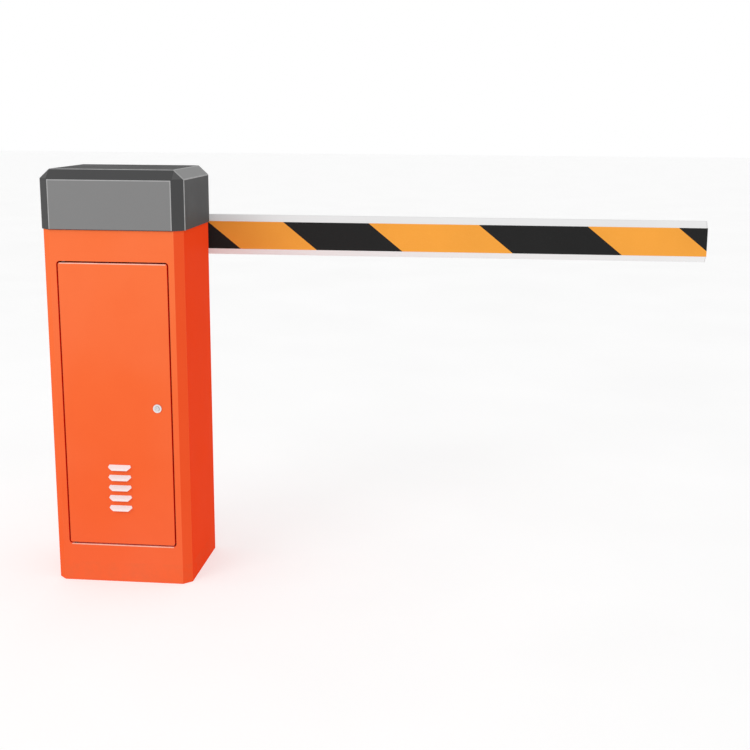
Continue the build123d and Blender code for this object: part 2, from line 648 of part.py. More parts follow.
def worm_wheel():
    back = WHEEL_FRONT + WHEEL_THICK
    wheel = rod_y(WHEEL_RADIUS, 0, WHEEL_FRONT, back, CRANK_AXIS_Z)
    wheel += rod_y(OUTPUT_RADIUS + 9, 0, WHEEL_FRONT - 6, back + 6, CRANK_AXIS_Z)
    return wheel - rod_y(OUTPUT_RADIUS + SEAT, 0, WHEEL_FRONT - 8, back + 8, CRANK_AXIS_Z)


def crank_arm():
    back = ROCKER_FRONT + ROCKER_THICK
    hub = ARM_HUB - 3
    arm = hull_arm(0, CRANK_AXIS_Z, -ARM_ANGLE, ROCKER_RADIUS, ROCKER_FRONT, back, hub, PIN_RADIUS + 5)
    arm -= rod_y(OUTPUT_RADIUS + SEAT, 0, ROCKER_FRONT - 1, back + 1, CRANK_AXIS_Z)
    return arm - rod_y(PIN_RADIUS + SEAT, ROCKER_X, ROCKER_FRONT - 1, back + 1, CRANK_Z)


def rod_pin(z):
    """Pin through an arm and a rod end, with a flat head at each end."""
    back = ROCKER_FRONT + ROCKER_THICK
    pin = rod_y(PIN_RADIUS, ROCKER_X, ROD_FRONT - PIN_HEAD - 1, back, z)
    pin += rod_y(PIN_RADIUS + 3, ROCKER_X, back, back + PIN_HEAD, z)
    return pin + rod_y(PIN_RADIUS + 3, ROCKER_X, ROD_FRONT - PIN_HEAD - 1, ROD_FRONT - 1, z)


def crank_pin():
    return rod_pin(CRANK_Z)


def rod_end(z, side, bore):
    """Eye on a threaded shank that points to the rod's middle; side is its way along Z."""
    eye = rod_y(ROD_EYE, ROCKER_X, ROD_FRONT, ROD_BACK, z)
    y = (ROD_FRONT + ROD_BACK) / 2
    z1 = z + side * ROD_EYE_LENGTH
    shank = rod_z(ROD_SHANK - 1, ROCKER_X, y, min(z, z1), max(z, z1))
    return eye + shank - rod_y(bore, ROCKER_X, ROD_FRONT - 1, ROD_BACK + 1, z)


def rod_ends():
    upper = rod_end(ROCKER_Z, -1, PIN_RADIUS + RUN)
    lower = rod_end(CRANK_Z, 1, PIN_RADIUS + OPEN_PIVOT)
    return group([upper, lower])


def connecting_rod():
    y = (ROD_FRONT + ROD_BACK) / 2
    gap = ROD_EYE + 10
    low = CRANK_Z + gap
    high = ROCKER_Z - gap
    bar = rod_z(ROD_RADIUS, ROCKER_X, y, low, high)
    depth = ROD_EYE_LENGTH - gap + 2
    bar -= rod_z(ROD_SHANK - 1 + SEAT, ROCKER_X, y, low - 1, low + depth)
    return bar - rod_z(ROD_SHANK - 1 + SEAT, ROCKER_X, y, high - depth, high + 1)


def motor_can():
    can = rod_z(MOTOR_RADIUS, WORM_X, WORM_Y, MOTOR_LOW, GEARBOX_LOW)
    can -= rod_z(MOTOR_RADIUS - MOTOR_WALL, WORM_X, WORM_Y, MOTOR_LOW + MOTOR_CAP, GEARBOX_LOW + 1)
    can -= rod_z(MOTOR_SHAFT + RUN, WORM_X, WORM_Y, MOTOR_LOW + 4, GEARBOX_LOW)
    return can


def motor_armature():
    body = rod_z(ARMATURE_RADIUS, WORM_X, WORM_Y, MOTOR_LOW + 22, GEARBOX_LOW - 20)
    return body - rod_z(MOTOR_SHAFT + SEAT, WORM_X, WORM_Y, MOTOR_LOW, GEARBOX_LOW)


def worm_shaft():
    shaft = rod_z(MOTOR_SHAFT, WORM_X, WORM_Y, MOTOR_LOW + 4.5, GEARBOX_HIGH + 2)
    half = WORM_LENGTH / 2
    shaft += rod_z(WORM_RADIUS, WORM_X, WORM_Y, CRANK_AXIS_Z - half, CRANK_AXIS_Z + half)
    hexagon = extrude(RegularPolygon(MOTOR_SHAFT, 6), 14)
    return shaft + Pos(WORM_X, WORM_Y, GEARBOX_HIGH + 2) * hexagon


# ---- control box and wiring
def control_box():
    back = BOX_BACK_X
    face = BOX_FACE_X - LID_THICK
    body = block(back, face, BOX_FRONT, BOX_FRONT + BOX_LENGTH, BOX_LOW, BOX_HIGH)
    body -= block(back + BOX_WALL, face + 1, BOX_FRONT + BOX_WALL, BOX_FRONT + BOX_LENGTH - BOX_WALL,
                  BOX_LOW + BOX_WALL, BOX_HIGH - BOX_WALL)
    for y in gland_rows():
        body -= rod_z(GLAND_RADIUS - 3 + SEAT, gland_x(), y, BOX_LOW - 1, BOX_LOW + BOX_WALL + 1)
    return body


def control_box_lid():
    face = BOX_FACE_X
    return block(face - LID_THICK, face, BOX_FRONT, BOX_FRONT + BOX_LENGTH, BOX_LOW, BOX_HIGH)


def circuit_board():
    x = BOX_BACK_X + BOX_WALL + 8
    front = BOX_FRONT + BOARD_MARGIN
    back = BOX_FRONT + BOX_LENGTH - BOARD_MARGIN
    low = BOX_LOW + BOARD_ABOVE
    high = BOX_HIGH - BOARD_MARGIN
    board = block(x, x + BOARD_THICK, front, back, low, high)
    for y in (front + 8, back - 8):
        for z in (low + 8, high - 8):
            board += rod_x(3, BOX_BACK_X + BOX_WALL, x, y, z)
    return board


def gland_x():
    return (BOX_BACK_X + BOX_FACE_X - LID_THICK) / 2


def gland_rows():
    mid = BOX_FRONT + BOX_LENGTH / 2
    return (mid - 40, mid, mid + 40)


def cable_glands():
    glands = []
    for y in gland_rows():
        gland = rod_z(GLAND_RADIUS, gland_x(), y, BOX_LOW - 12, BOX_LOW)
        gland += rod_z(GLAND_RADIUS - 3, gland_x(), y, BOX_LOW, BOX_LOW + 8)
        if y == gland_rows()[1]:
            gland -= rod_z(CABLE_RADIUS + SEAT, gland_x(), y, BOX_LOW - 13, BOX_LOW + 9)
        glands.append(gland)
    return group(glands)


def cable_tube(points, radius):
    """Tube along straight runs joined by the largest arcs that the runs leave room for."""
    corners = [Vector(*p) for p in points]
    radii = []
    for before, here, after in zip(corners, corners[1:], corners[2:]):
        turn = (here - before).get_angle(after - here)
        short = min((here - before).length, (after - here).length)
        radii.append(round(0.45 * short / tan(radians(turn / 2)), 2))
    print("cable arc radii", radii)
    path = FilletPolyline(*corners, radius=radii)
    start = Plane(origin=corners[0], z_dir=corners[1] - corners[0])
    tube = sweep(start * Circle(radius), path=path)
    straight_volume = pi * radius ** 2 * path.length
    print("cable volume over section times length", round(tube.volume / straight_volume, 4))
    return tube


def motor_cable():
    x = gland_x()
    y = gland_rows()[1]
    low = MOTOR_LOW
    points = [
        (x, y, BOX_LOW + 6), (x, y, low + 94.5), (x + 4, y - 6, low + 20.5), (x + 38, y - 14, low - 37.5),
        (x + 96, y - 10, low - 65.5), (x + 150, y + 14, low - 69.5),
        (WORM_X - 8, WORM_Y - 18, low - 59.5), (WORM_X, WORM_Y, low - 30.5), (WORM_X, WORM_Y, low),
    ]
    return cable_tube(points, CABLE_RADIUS)


# ---- balance springs
def spring_lever():
    angle = 180 - ARM_ANGLE
    back = LEVER_FRONT + LEVER_THICK
    arm = hull_arm(0, BOOM_AXIS_Z, angle, SPRING_ARM, LEVER_FRONT, back, ARM_HUB, 14)
    arm -= rod_y(SHAFT_RADIUS + SEAT, 0, LEVER_FRONT - 1, back + 1, BOOM_AXIS_Z)
    arm -= rod_y(SPRING_PIN_RADIUS + SEAT, SPRING_X, LEVER_FRONT - 1, back + 1, SPRING_PIN_Z)
    return arm - key_block(LEVER_FRONT, back, APART)


def arm_pins():
    return group([rod_pin(ROCKER_Z), spring_pin()])


def spring_pin():
    reach = SPRING_SPREAD + 9
    pin = rod_y(SPRING_PIN_RADIUS, SPRING_X, SPRING_MID_Y - reach, SPRING_MID_Y + reach, SPRING_PIN_Z)
    for y in (SPRING_MID_Y - reach, SPRING_MID_Y + reach - 1.5):
        pin += rod_y(SPRING_PIN_RADIUS + 3, SPRING_X, y, y + 1.5, SPRING_PIN_Z)
    return pin


def spring_top_plugs():
    plugs = []
    for y in SPRING_ROWS:
        eye = rod_y(13, SPRING_X, y - 6, y + 6, SPRING_PIN_Z)
        stem = rod_z(STUD_RADIUS - 1, SPRING_X, y, SPRING_TOP, SPRING_PIN_Z)
        plug = rod_z(COIL_INNER - APART, SPRING_X, y, SPRING_TOP - PLUG_DEPTH, SPRING_TOP)
        collar = rod_z(SPRING_OUTER - 2, SPRING_X, y, SPRING_TOP + APART, SPRING_TOP + 6)
        eye = eye + stem + plug + collar
        plugs.append(eye - rod_y(SPRING_PIN_RADIUS + RUN, SPRING_X, y - 7, y + 7, SPRING_PIN_Z))
    return group(plugs)


def balance_springs():
    """Envelopes of the two coils: plain tubes."""
    coils = []
    for y in SPRING_ROWS:
        coil = rod_z(SPRING_OUTER, SPRING_X, y, SPRING_LOW, SPRING_TOP)
        coils.append(coil - rod_z(COIL_INNER, SPRING_X, y, SPRING_LOW - 1, SPRING_TOP + 1))
    return group(coils)


def spring_bottom_plugs():
    plugs = []
    for y in SPRING_ROWS:
        stud = rod_z(STUD_RADIUS, SPRING_X, y, ANCHOR_PLATE_LOW - 24, SPRING_LOW + PLUG_DEPTH)
        plug = rod_z(COIL_INNER - APART, SPRING_X, y, SPRING_LOW, SPRING_LOW + PLUG_DEPTH)
        collar = rod_z(SPRING_OUTER - 2, SPRING_X, y, SPRING_LOW - 6, SPRING_LOW - APART)
        plugs.append(stud + plug + collar)
    return group(plugs)


def spring_anchor_bracket():
    left = SPRING_X - 28
    right = SPRING_X + 28
    top = ANCHOR_PLATE_LOW + ANCHOR_PLATE
    plate = block(left, right, SPRING_ROWS[0] - 20, CHASSIS_FRONT, ANCHOR_PLATE_LOW, top)
    plate += block(left, right, CHASSIS_FRONT - 8, CHASSIS_FRONT, ANCHOR_PLATE_LOW - 40, top)
    for y in SPRING_ROWS:
        plate -= rod_z(STUD_RADIUS + HOLE, SPRING_X, y, ANCHOR_PLATE_LOW - 1, top + 1)
    return plate


def spring_nuts():
    places = [facing(SPRING_X, y, ANCHOR_PLATE_LOW, (0, 0, -1)) for y in SPRING_ROWS]
    return group(hex_nut(place, 2 * STUD_RADIUS, STUD_RADIUS + SEAT) for place in places)


# ---- rotor: everything that turns with the boom
def main_shaft():
    shaft = rod_y(SHAFT_RADIUS, 0, SHAFT_FRONT, HOLDER_FRONT, BOOM_AXIS_Z)
    for y0, y1 in key_spans():
        shaft -= key_block(y0, y1, APART / 2)
    return shaft


def key_spans():
    return (
        (ROCKER_FRONT, ROCKER_FRONT + ROCKER_THICK),
        (LEVER_FRONT, LEVER_FRONT + LEVER_THICK),
        (STOP_FRONT, STOP_FRONT + STOP_THICK),
        (HUB_FRONT + 2, HUB_DISC_FRONT),
    )


def shaft_keys():
    return group(key_block(y0, y1) for y0, y1 in key_spans())


def rocker_arm():
    back = ROCKER_FRONT + ROCKER_THICK
    arm = hull_arm(0, BOOM_AXIS_Z, -ARM_ANGLE, ROCKER_RADIUS, ROCKER_FRONT, back, ARM_HUB, PIN_RADIUS + 5)
    arm -= rod_y(SHAFT_RADIUS + SEAT, 0, ROCKER_FRONT - 1, back + 1, BOOM_AXIS_Z)
    arm -= rod_y(PIN_RADIUS + SEAT, ROCKER_X, ROCKER_FRONT - 1, back + 1, ROCKER_Z)
    return arm - key_block(ROCKER_FRONT, back, APART)


def stop_arm():
    back = STOP_FRONT + STOP_THICK
    half = STOP_WIDTH / 2
    arm = block(-half, half, STOP_FRONT, back, BOOM_AXIS_Z - STOP_REACH, BOOM_AXIS_Z)
    arm += rod_y(ARM_HUB - 1, 0, STOP_FRONT, back, BOOM_AXIS_Z)
    arm -= rod_y(SHAFT_RADIUS + SEAT, 0, STOP_FRONT - 1, back + 1, BOOM_AXIS_Z)
    return arm - key_block(STOP_FRONT, back, APART)


def limit_flag():
    """Two-armed steel flag: one arm faces each sensor at its end of the travel."""
    back = FLAG_FRONT + FLAG_THICK
    flag = rod_y(SHAFT_RADIUS + 7, 0, FLAG_FRONT - 4, back, BOOM_AXIS_Z)
    for angle in (-90 - SENSOR_ANGLE, -180 + SENSOR_ANGLE):
        arm = block(0, FLAG_REACH, FLAG_FRONT, back, -FLAG_WIDTH / 2, FLAG_WIDTH / 2)
        flag += Pos(0, 0, BOOM_AXIS_Z) * Rot(0, -angle, 0) * arm
    return flag - rod_y(SHAFT_RADIUS + SEAT, 0, FLAG_FRONT - 5, back + 1, BOOM_AXIS_Z)


def hub_bolt_points():
    reach = HUB_BOLT_CIRCLE * cos(radians(45))
    return [(x, BOOM_AXIS_Z + z) for x in (-reach, reach) for z in (-reach, reach)]


def boom_hub():
    hub = rod_y(HUB_RADIUS - APART, 0, HUB_FRONT, HUB_DISC_FRONT, BOOM_AXIS_Z)
    hub += rod_y(HUB_DISC_RADIUS, 0, HUB_DISC_FRONT, HOLDER_FRONT, BOOM_AXIS_Z)
    hub -= rod_y(SHAFT_RADIUS + SEAT, 0, HUB_FRONT - 1, HOLDER_FRONT + 1, BOOM_AXIS_Z)
    for x, z in hub_bolt_points():
        hub -= rod_y(CLAMP_BOLT / 2 + HOLE, x, HUB_DISC_FRONT - 1, HOLDER_FRONT + 1, z)
    return hub - key_block(HUB_FRONT - 1, HUB_DISC_FRONT, APART)


def clamp_bolt_points():
    heights = (BOOM_AXIS_Z - CLAMP_BOLT_Z, BOOM_AXIS_Z + CLAMP_BOLT_Z)
    return [(x, z) for x in (-CLAMP_BOLT_X, CLAMP_BOLT_X) for z in heights]


def boom_holder():
    half = HOLDER_LENGTH / 2
    tall = HOLDER_HEIGHT / 2
    low = BOOM_HEIGHT / 2 + APART
    holder = block(-half, half, HOLDER_FRONT, BOOM_FRONT, BOOM_AXIS_Z - tall, BOOM_AXIS_Z + tall)
    for side in (-1, 1):
        z0 = BOOM_AXIS_Z + side * low
        z1 = BOOM_AXIS_Z + side * (low + HOLDER_PLATE)
        holder += block(-half, half, BOOM_FRONT, BOOM_BACK - 1, min(z0, z1), max(z0, z1))
    for x, z in hub_bolt_points():
        holder -= rod_y(CLAMP_BOLT / 2 + SEAT, x, HOLDER_FRONT - 1, BOOM_FRONT + 1, z)
    for x, z in clamp_bolt_points():
        holder -= rod_y(CLAMP_BOLT / 2 + HOLE, x, HOLDER_FRONT - 1, BOOM_FRONT + 1, z)
    return holder


def clamp_plate():
    half = HOLDER_LENGTH / 2
    tall = HOLDER_HEIGHT / 2
    plate = block(-half, half, BOOM_BACK, BOOM_BACK + HOLDER_PLATE, BOOM_AXIS_Z - tall, BOOM_AXIS_Z + tall)
    for x, z in clamp_bolt_points():
        plate -= rod_y(CLAMP_BOLT / 2 + HOLE, x, BOOM_BACK - 1, BOOM_BACK + HOLDER_PLATE + 1, z)
    return plate


def holder_bolts():
    """Four hub bolts, and four long clamp bolts with their nuts."""
    pieces = [hex_bolt(facing(x, HUB_DISC_FRONT, z, (0, -1, 0)), CLAMP_BOLT, HUB_DISC + HOLDER_PLATE - 0.5)
              for x, z in hub_bolt_points()]
    length = BOOM_BACK + HOLDER_PLATE - HOLDER_FRONT + 12
    for x, z in clamp_bolt_points():
        pieces.append(hex_bolt(facing(x, BOOM_BACK + HOLDER_PLATE, z, (0, 1, 0)), CLAMP_BOLT, length))
        pieces.append(hex_nut(facing(x, HOLDER_FRONT, z, (0, -1, 0)), CLAMP_BOLT, CLAMP_BOLT / 2 + SEAT))
    return group(pieces)


def along_boom(face, x0, x1):
    """Extrude a boom cross-section, drawn with its thickness as X and its height as Y."""
    bar = extrude(face, x1 - x0, dir=(0, 0, 1))
    place = Plane(origin=(x0, BOOM_FRONT + BOOM_THICK / 2, BOOM_AXIS_Z), x_dir=(0, 1, 0), z_dir=(1, 0, 0))
    return place.location * bar


def boom_tube():
    outer = octagon(BOOM_THICK, BOOM_HEIGHT, BOOM_CHAMFER)
    inner = octagon_inside(BOOM_THICK, BOOM_HEIGHT, BOOM_CHAMFER, BOOM_WALL)
    return along_boom(outer - inner, -BOOM_BUTT, BOOM_END - CAP_THICK)


def boom_cap(end, way):
    """Cap with a plug that fits inside the tube; way is the outward side along X."""
    outer = octagon(BOOM_THICK, BOOM_HEIGHT, BOOM_CHAMFER)
    plug = octagon_inside(BOOM_THICK, BOOM_HEIGHT, BOOM_CHAMFER, BOOM_WALL + SEAT)
    core = octagon_inside(BOOM_THICK, BOOM_HEIGHT, BOOM_CHAMFER, 2 * BOOM_WALL)
    far = end + way * CAP_THICK
    near = end - way * CAP_PLUG
    cap = along_boom(outer, min(end, far), max(end, far))
    return cap + along_boom(plug - core, min(end, near), max(end, near))


def boom_caps():
    return group([boom_cap(BOOM_END - CAP_THICK, 1), boom_cap(-BOOM_BUTT, -1)])


def stripe(x0, x1, y0, y1):
    """One slanted field of tape between two places on the boom's middle line."""
    half = BOOM_HEIGHT / 2 - BOOM_CHAMFER
    lean = half * tan(radians(STRIPE_LEAN))
    corners = [(x0 - lean, half), (x1 - lean, half), (x1 + lean, -half), (x0 + lean, -half)]
    field = Face(Wire.make_polygon([Vector(x, y1, BOOM_AXIS_Z + z) for x, z in corners]))
    solid = extrude(field, y1 - y0, dir=(0, -1, 0))
    return solid & block(TAPE_START, BOOM_END, y0 - 1, y1 + 1, BOOM_AXIS_Z - half, BOOM_AXIS_Z + half)


def stripes_black():
    return boom_stripes(0)


def stripes_orange():
    return boom_stripes(1)


def boom_stripes(first):
    """Every second field, on both faces; first is 0 for the black fields and 1 for the orange."""
    on_boom = [x for x in STRIPE_EDGES if x < BOOM_END]
    edges = [TAPE_START - BOOM_HEIGHT, *on_boom, BOOM_END + BOOM_HEIGHT]
    fields = []
    for x0, x1 in list(zip(edges, edges[1:]))[first::2]:
        fields.append(stripe(x0, x1, BOOM_FRONT - TAPE_THICK, BOOM_FRONT))
        fields.append(stripe(x0, x1, BOOM_BACK, BOOM_BACK + TAPE_THICK))
    return group(s for field in fields for s in field.solids())


# ---- door
def door_panel():
    back = FRONT + SHEET + DOOR_RETURN
    door = door_block(0, FRONT, back)
    door -= door_block(-SHEET, FRONT + SHEET, back + 1)
    door -= rod_z(HINGE_RADIUS + 1 + SEAT, HINGE_X, HINGE_Y, DOOR_LOW - 1, DOOR_HIGH + 1)
    door -= rod_y(LOCK_RADIUS - 2 + SEAT, LOCK_X, FRONT - 1, FRONT + SHEET + 1, LOCK_Z)
    for z in louvre_heights():
        door -= louvre_prism(z, LOUVRE_WALL + 1, LOUVRE_WALL + 1, FRONT - 1, FRONT + SHEET + 1)
    return door


def louvre_heights():
    return [LOUVRE_LOW + i * LOUVRE_PITCH for i in range(LOUVRE_COUNT)]


def louvre_prism(z, inset, foot_inset, y0, y1):
    """Prism along Y with the louvre's front view: blunt shoulders, and ends that lean in to the foot."""
    low = foot_inset - LOUVRE_HEIGHT / 2
    high = LOUVRE_HEIGHT / 2 - inset
    shoulder = LOUVRE_SHOULDER * LOUVRE_HEIGHT
    lean = (LOUVRE_WIDTH - LOUVRE_FOOT) / 2 / (LOUVRE_HEIGHT / 2 + shoulder)
    foot = LOUVRE_FOOT / 2 + foot_inset * lean - inset
    wide = LOUVRE_WIDTH / 2 - inset
    half = [(foot, low), (wide, shoulder), (wide - LOUVRE_BLUNT, high)]
    corners = half + [(-x, h) for x, h in reversed(half)]
    face = Face(Wire.make_polygon([Vector(x, y1, z + h) for x, h in corners]))
    return extrude(face, y1 - y0, dir=(0, -1, 0))


def louvre_cowl(z):
    """Pressed cowl: flush at its upper edge, standing out and open at its foot."""
    tall = LOUVRE_HEIGHT / 2
    outside = louvre_prism(z, 0, 0, FRONT - LOUVRE_RISE - 1, FRONT)
    outside &= cowl_profile(z - tall, z + tall, LOUVRE_RISE)
    inside = louvre_prism(z, LOUVRE_WALL, -1, FRONT - LOUVRE_RISE - 1, FRONT + 1)
    inside &= cowl_profile(z - tall - 2, z + tall - 2 * LOUVRE_WALL, LOUVRE_RISE - LOUVRE_WALL)
    return outside - inside


def cowl_profile(low, high, rise):
    """Bar along X with the cowl's side view: it slopes out from the top and drops straight at the foot."""
    side = [(FRONT, high), (FRONT - rise, low + (high - low) * 0.35), (FRONT - rise, low), (FRONT, low)]
    face = Face(Wire.make_polygon([Vector(-LOUVRE_WIDTH, y, z) for y, z in side]))
    return extrude(face, 2 * LOUVRE_WIDTH, dir=(1, 0, 0))


def door_louvres():
    return group(louvre_cowl(z) for z in louvre_heights())


def door_bushes():
    bushes = []
    for near, way in ((DOOR_LOW, 1), (DOOR_HIGH, -1)):
        inner = near + way * (SHEET + 4)
        bush = rod_z(HINGE_RADIUS + 1, HINGE_X, HINGE_Y, min(near, inner), max(near, inner))
        flange = near - way * (DOOR_GAP - 1)
        bush += rod_z(HINGE_RADIUS + 2, HINGE_X, HINGE_Y, min(near, flange), max(near, flange))
        bushes.append(bush - rod_z(HINGE_RADIUS + RUN, HINGE_X, HINGE_Y, DOOR_LOW - 9, DOOR_HIGH + 9))
    return group(bushes)


def lock_barrel():
    barrel = rod_y(LOCK_RADIUS, LOCK_X, FRONT - 2.5, FRONT, LOCK_Z)
    barrel += rod_y(LOCK_RADIUS - 2, LOCK_X, FRONT, CAM_FRONT - 1, LOCK_Z)
    barrel -= rod_y(PLUG_RADIUS + LOCK_GROOVE, LOCK_X, FRONT - 4, FRONT - 1, LOCK_Z)
    return barrel - rod_y(PLUG_RADIUS + RUN, LOCK_X, FRONT - 4, CAM_FRONT, LOCK_Z)


def lock_plug():
    plug = rod_y(PLUG_RADIUS, LOCK_X, FRONT - 2.9, CAM_FRONT + 3, LOCK_Z)
    return plug - block(LOCK_X - 3, LOCK_X + 3, FRONT - 4, FRONT - 1, LOCK_Z - 0.6, LOCK_Z + 0.6)


def lock_cam():
    arm = hull_arm(LOCK_X, LOCK_Z, -90, CAM_REACH - 6, CAM_FRONT, CAM_FRONT + 3, 8, 6)
    return arm - rod_y(PLUG_RADIUS + SEAT, LOCK_X, CAM_FRONT - 1, CAM_FRONT + 4, LOCK_Z)


NODES = (
    # cabinet
    base_plate, cabinet_shell, hinge_pins, strike_plate, shaft_seal_plate, cover_screws,
    hood_shell, hood_front_panel, hood_support_frame,
    chassis_plate, chassis_bolts, front_bearing_plate, plate_spacers, bearing_housings, shaft_bearings,
    buffer_brackets, end_buffers, limit_sensors,
    gearbox_housing, gearbox_cover, motor_can,
    control_box, control_box_lid, circuit_board, cable_glands, motor_cable,
    balance_springs, spring_bottom_plugs, spring_anchor_bracket, spring_nuts,
    # rotor
    main_shaft, shaft_keys, rocker_arm, spring_lever, arm_pins, stop_arm, limit_flag,
    boom_hub, boom_holder, clamp_plate, holder_bolts, boom_tube, boom_caps, stripes_black, stripes_orange,
    # drive
    output_shaft, worm_wheel, crank_arm, crank_pin, connecting_rod, rod_ends, spring_top_plugs,
    worm_shaft, motor_armature,
    # door
    door_panel, door_louvres, door_bushes, lock_barrel, lock_plug, lock_cam,
)

os.makedirs("parts", exist_ok=True)
for make in NODES:
    export_step(make(), f"parts/{make.__name__}.step")
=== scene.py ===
import json
import math

import bpy
from mathutils import Matrix, Vector


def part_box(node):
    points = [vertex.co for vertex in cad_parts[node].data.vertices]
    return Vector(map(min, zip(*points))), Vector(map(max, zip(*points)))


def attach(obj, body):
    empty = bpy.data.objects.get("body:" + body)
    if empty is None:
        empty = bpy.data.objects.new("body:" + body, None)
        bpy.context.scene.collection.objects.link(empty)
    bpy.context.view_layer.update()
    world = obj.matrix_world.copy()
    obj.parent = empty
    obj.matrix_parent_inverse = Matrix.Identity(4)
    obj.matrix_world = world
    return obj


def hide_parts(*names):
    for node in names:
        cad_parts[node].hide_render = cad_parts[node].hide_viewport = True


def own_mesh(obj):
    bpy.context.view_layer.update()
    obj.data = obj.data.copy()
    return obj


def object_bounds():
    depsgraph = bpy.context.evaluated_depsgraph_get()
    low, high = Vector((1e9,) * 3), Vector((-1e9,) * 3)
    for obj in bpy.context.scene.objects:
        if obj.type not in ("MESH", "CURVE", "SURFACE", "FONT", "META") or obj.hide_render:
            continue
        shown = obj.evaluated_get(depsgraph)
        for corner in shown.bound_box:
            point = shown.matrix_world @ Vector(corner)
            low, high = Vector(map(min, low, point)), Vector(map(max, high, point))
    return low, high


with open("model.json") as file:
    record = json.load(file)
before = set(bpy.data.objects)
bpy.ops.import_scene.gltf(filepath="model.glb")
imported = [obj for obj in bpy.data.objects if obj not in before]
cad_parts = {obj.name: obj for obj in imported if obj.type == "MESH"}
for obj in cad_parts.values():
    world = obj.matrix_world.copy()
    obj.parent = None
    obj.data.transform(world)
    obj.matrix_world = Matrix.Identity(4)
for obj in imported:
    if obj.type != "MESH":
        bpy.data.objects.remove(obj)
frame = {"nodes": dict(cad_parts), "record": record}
cad_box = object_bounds()
nodes = frame["nodes"]

# ---- sizes used to place the painted edge highlights, in metres
DOOR_GAP = 0.004
EDGE_LINE = 0.0024
FOLD_LINE = 0.0015
HOOD_PANEL_MARGIN = 0.0015
LINE_FADE = 0.0004
LINE_OVERHANG = 0.0006
LINE_INSET = 0.002
LINE_DEPTH = 0.02

# ---- colours, linear
# the paint's deep orange; on the sides it also stands for their painted shade
ORANGE_DEEP = (0.90, 0.060, 0.012)
# painted light: the orange of faces turned to the light
ORANGE_LIT = (0.95, 0.182, 0.050)
# pale orange: painted sheen on the front faces, and rubbed wear on edges
ORANGE_SHEEN_AND_WEAR = (1.0, 0.34, 0.20)
# painted highlight along the door's top edge and under its lower gap
ORANGE_EDGE_HIGHLIGHT = (1.0, 0.58, 0.46)
ORANGE_SHADE = (0.95, 0.006, 0.002)
HOOD_GREY = (0.074, 0.074, 0.075)
# painted highlight on the hood's sloped sides
HOOD_SLOPE_HIGHLIGHT = (0.29, 0.29, 0.29)
# painted highlight along the hood's folds
HOOD_FOLD_HIGHLIGHT = (0.42, 0.42, 0.42)
PANEL_GREY = (0.225, 0.225, 0.225)
# painted highlight along the front panel's top and sides
PANEL_EDGE_HIGHLIGHT = (0.42, 0.42, 0.42)

# ---- light
WORLD_LIGHT = 0.80
FLOOR_GLOW = 0.50
FLOOR_REACH = 30.0
KEY_PLACE = (-2.2, -3.6, 3.2)
KEY_TARGET = (0.1, 0.0, 0.6)
KEY_SIZE = (2.4, 2.4)
KEY_POWER = 45.0

# ---- pieces made here, in metres
SPRING_WIRE = 0.0045
SPRING_TURNS = 118
MOTOR_RIBS = 36
RIB_RISE = 0.0015
RIB_SINK = 0.001
RIB_FROM_BOTTOM = 0.012
RIB_FROM_TOP = 0.010
RIB_SHARE = 0.22
SCREW_SIDES = 12
LID_SCREW_RADIUS = 0.0035
LID_SCREW_RISE = 0.0025
LID_SCREW_INSET = 0.008
COVER_SCREWS = 6
COVER_SCREW_RADIUS = 0.004
COVER_SCREW_INSET = 0.006

# ---- edge radii of CAD nodes, in metres
SOFTENED = {
    "cabinet_shell": 0.0009, "door_panel": 0.0011, "hood_shell": 0.0010, "hood_front_panel": 0.0004,
    "door_louvres": 0.0007, "lock_barrel": 0.0007, "boom_tube": 0.0012, "boom_caps": 0.0008,
    "front_bearing_plate": 0.0005, "chassis_plate": 0.0005,
    "gearbox_housing": 0.0015, "gearbox_cover": 0.0008,
    "control_box": 0.0015, "control_box_lid": 0.0010, "boom_holder": 0.0006, "clamp_plate": 0.0006,
}

# ---- camera, as the object is seen from the front and a little to the right
CAMERA_PLACE = (0.8974, -2.9185, 1.1356)
CAMERA_YAW = -5.771
CAMERA_PITCH = -12.119
CAMERA_ROLL = -0.333
CAMERA_LENS = 59.14
SENSOR = 36.0


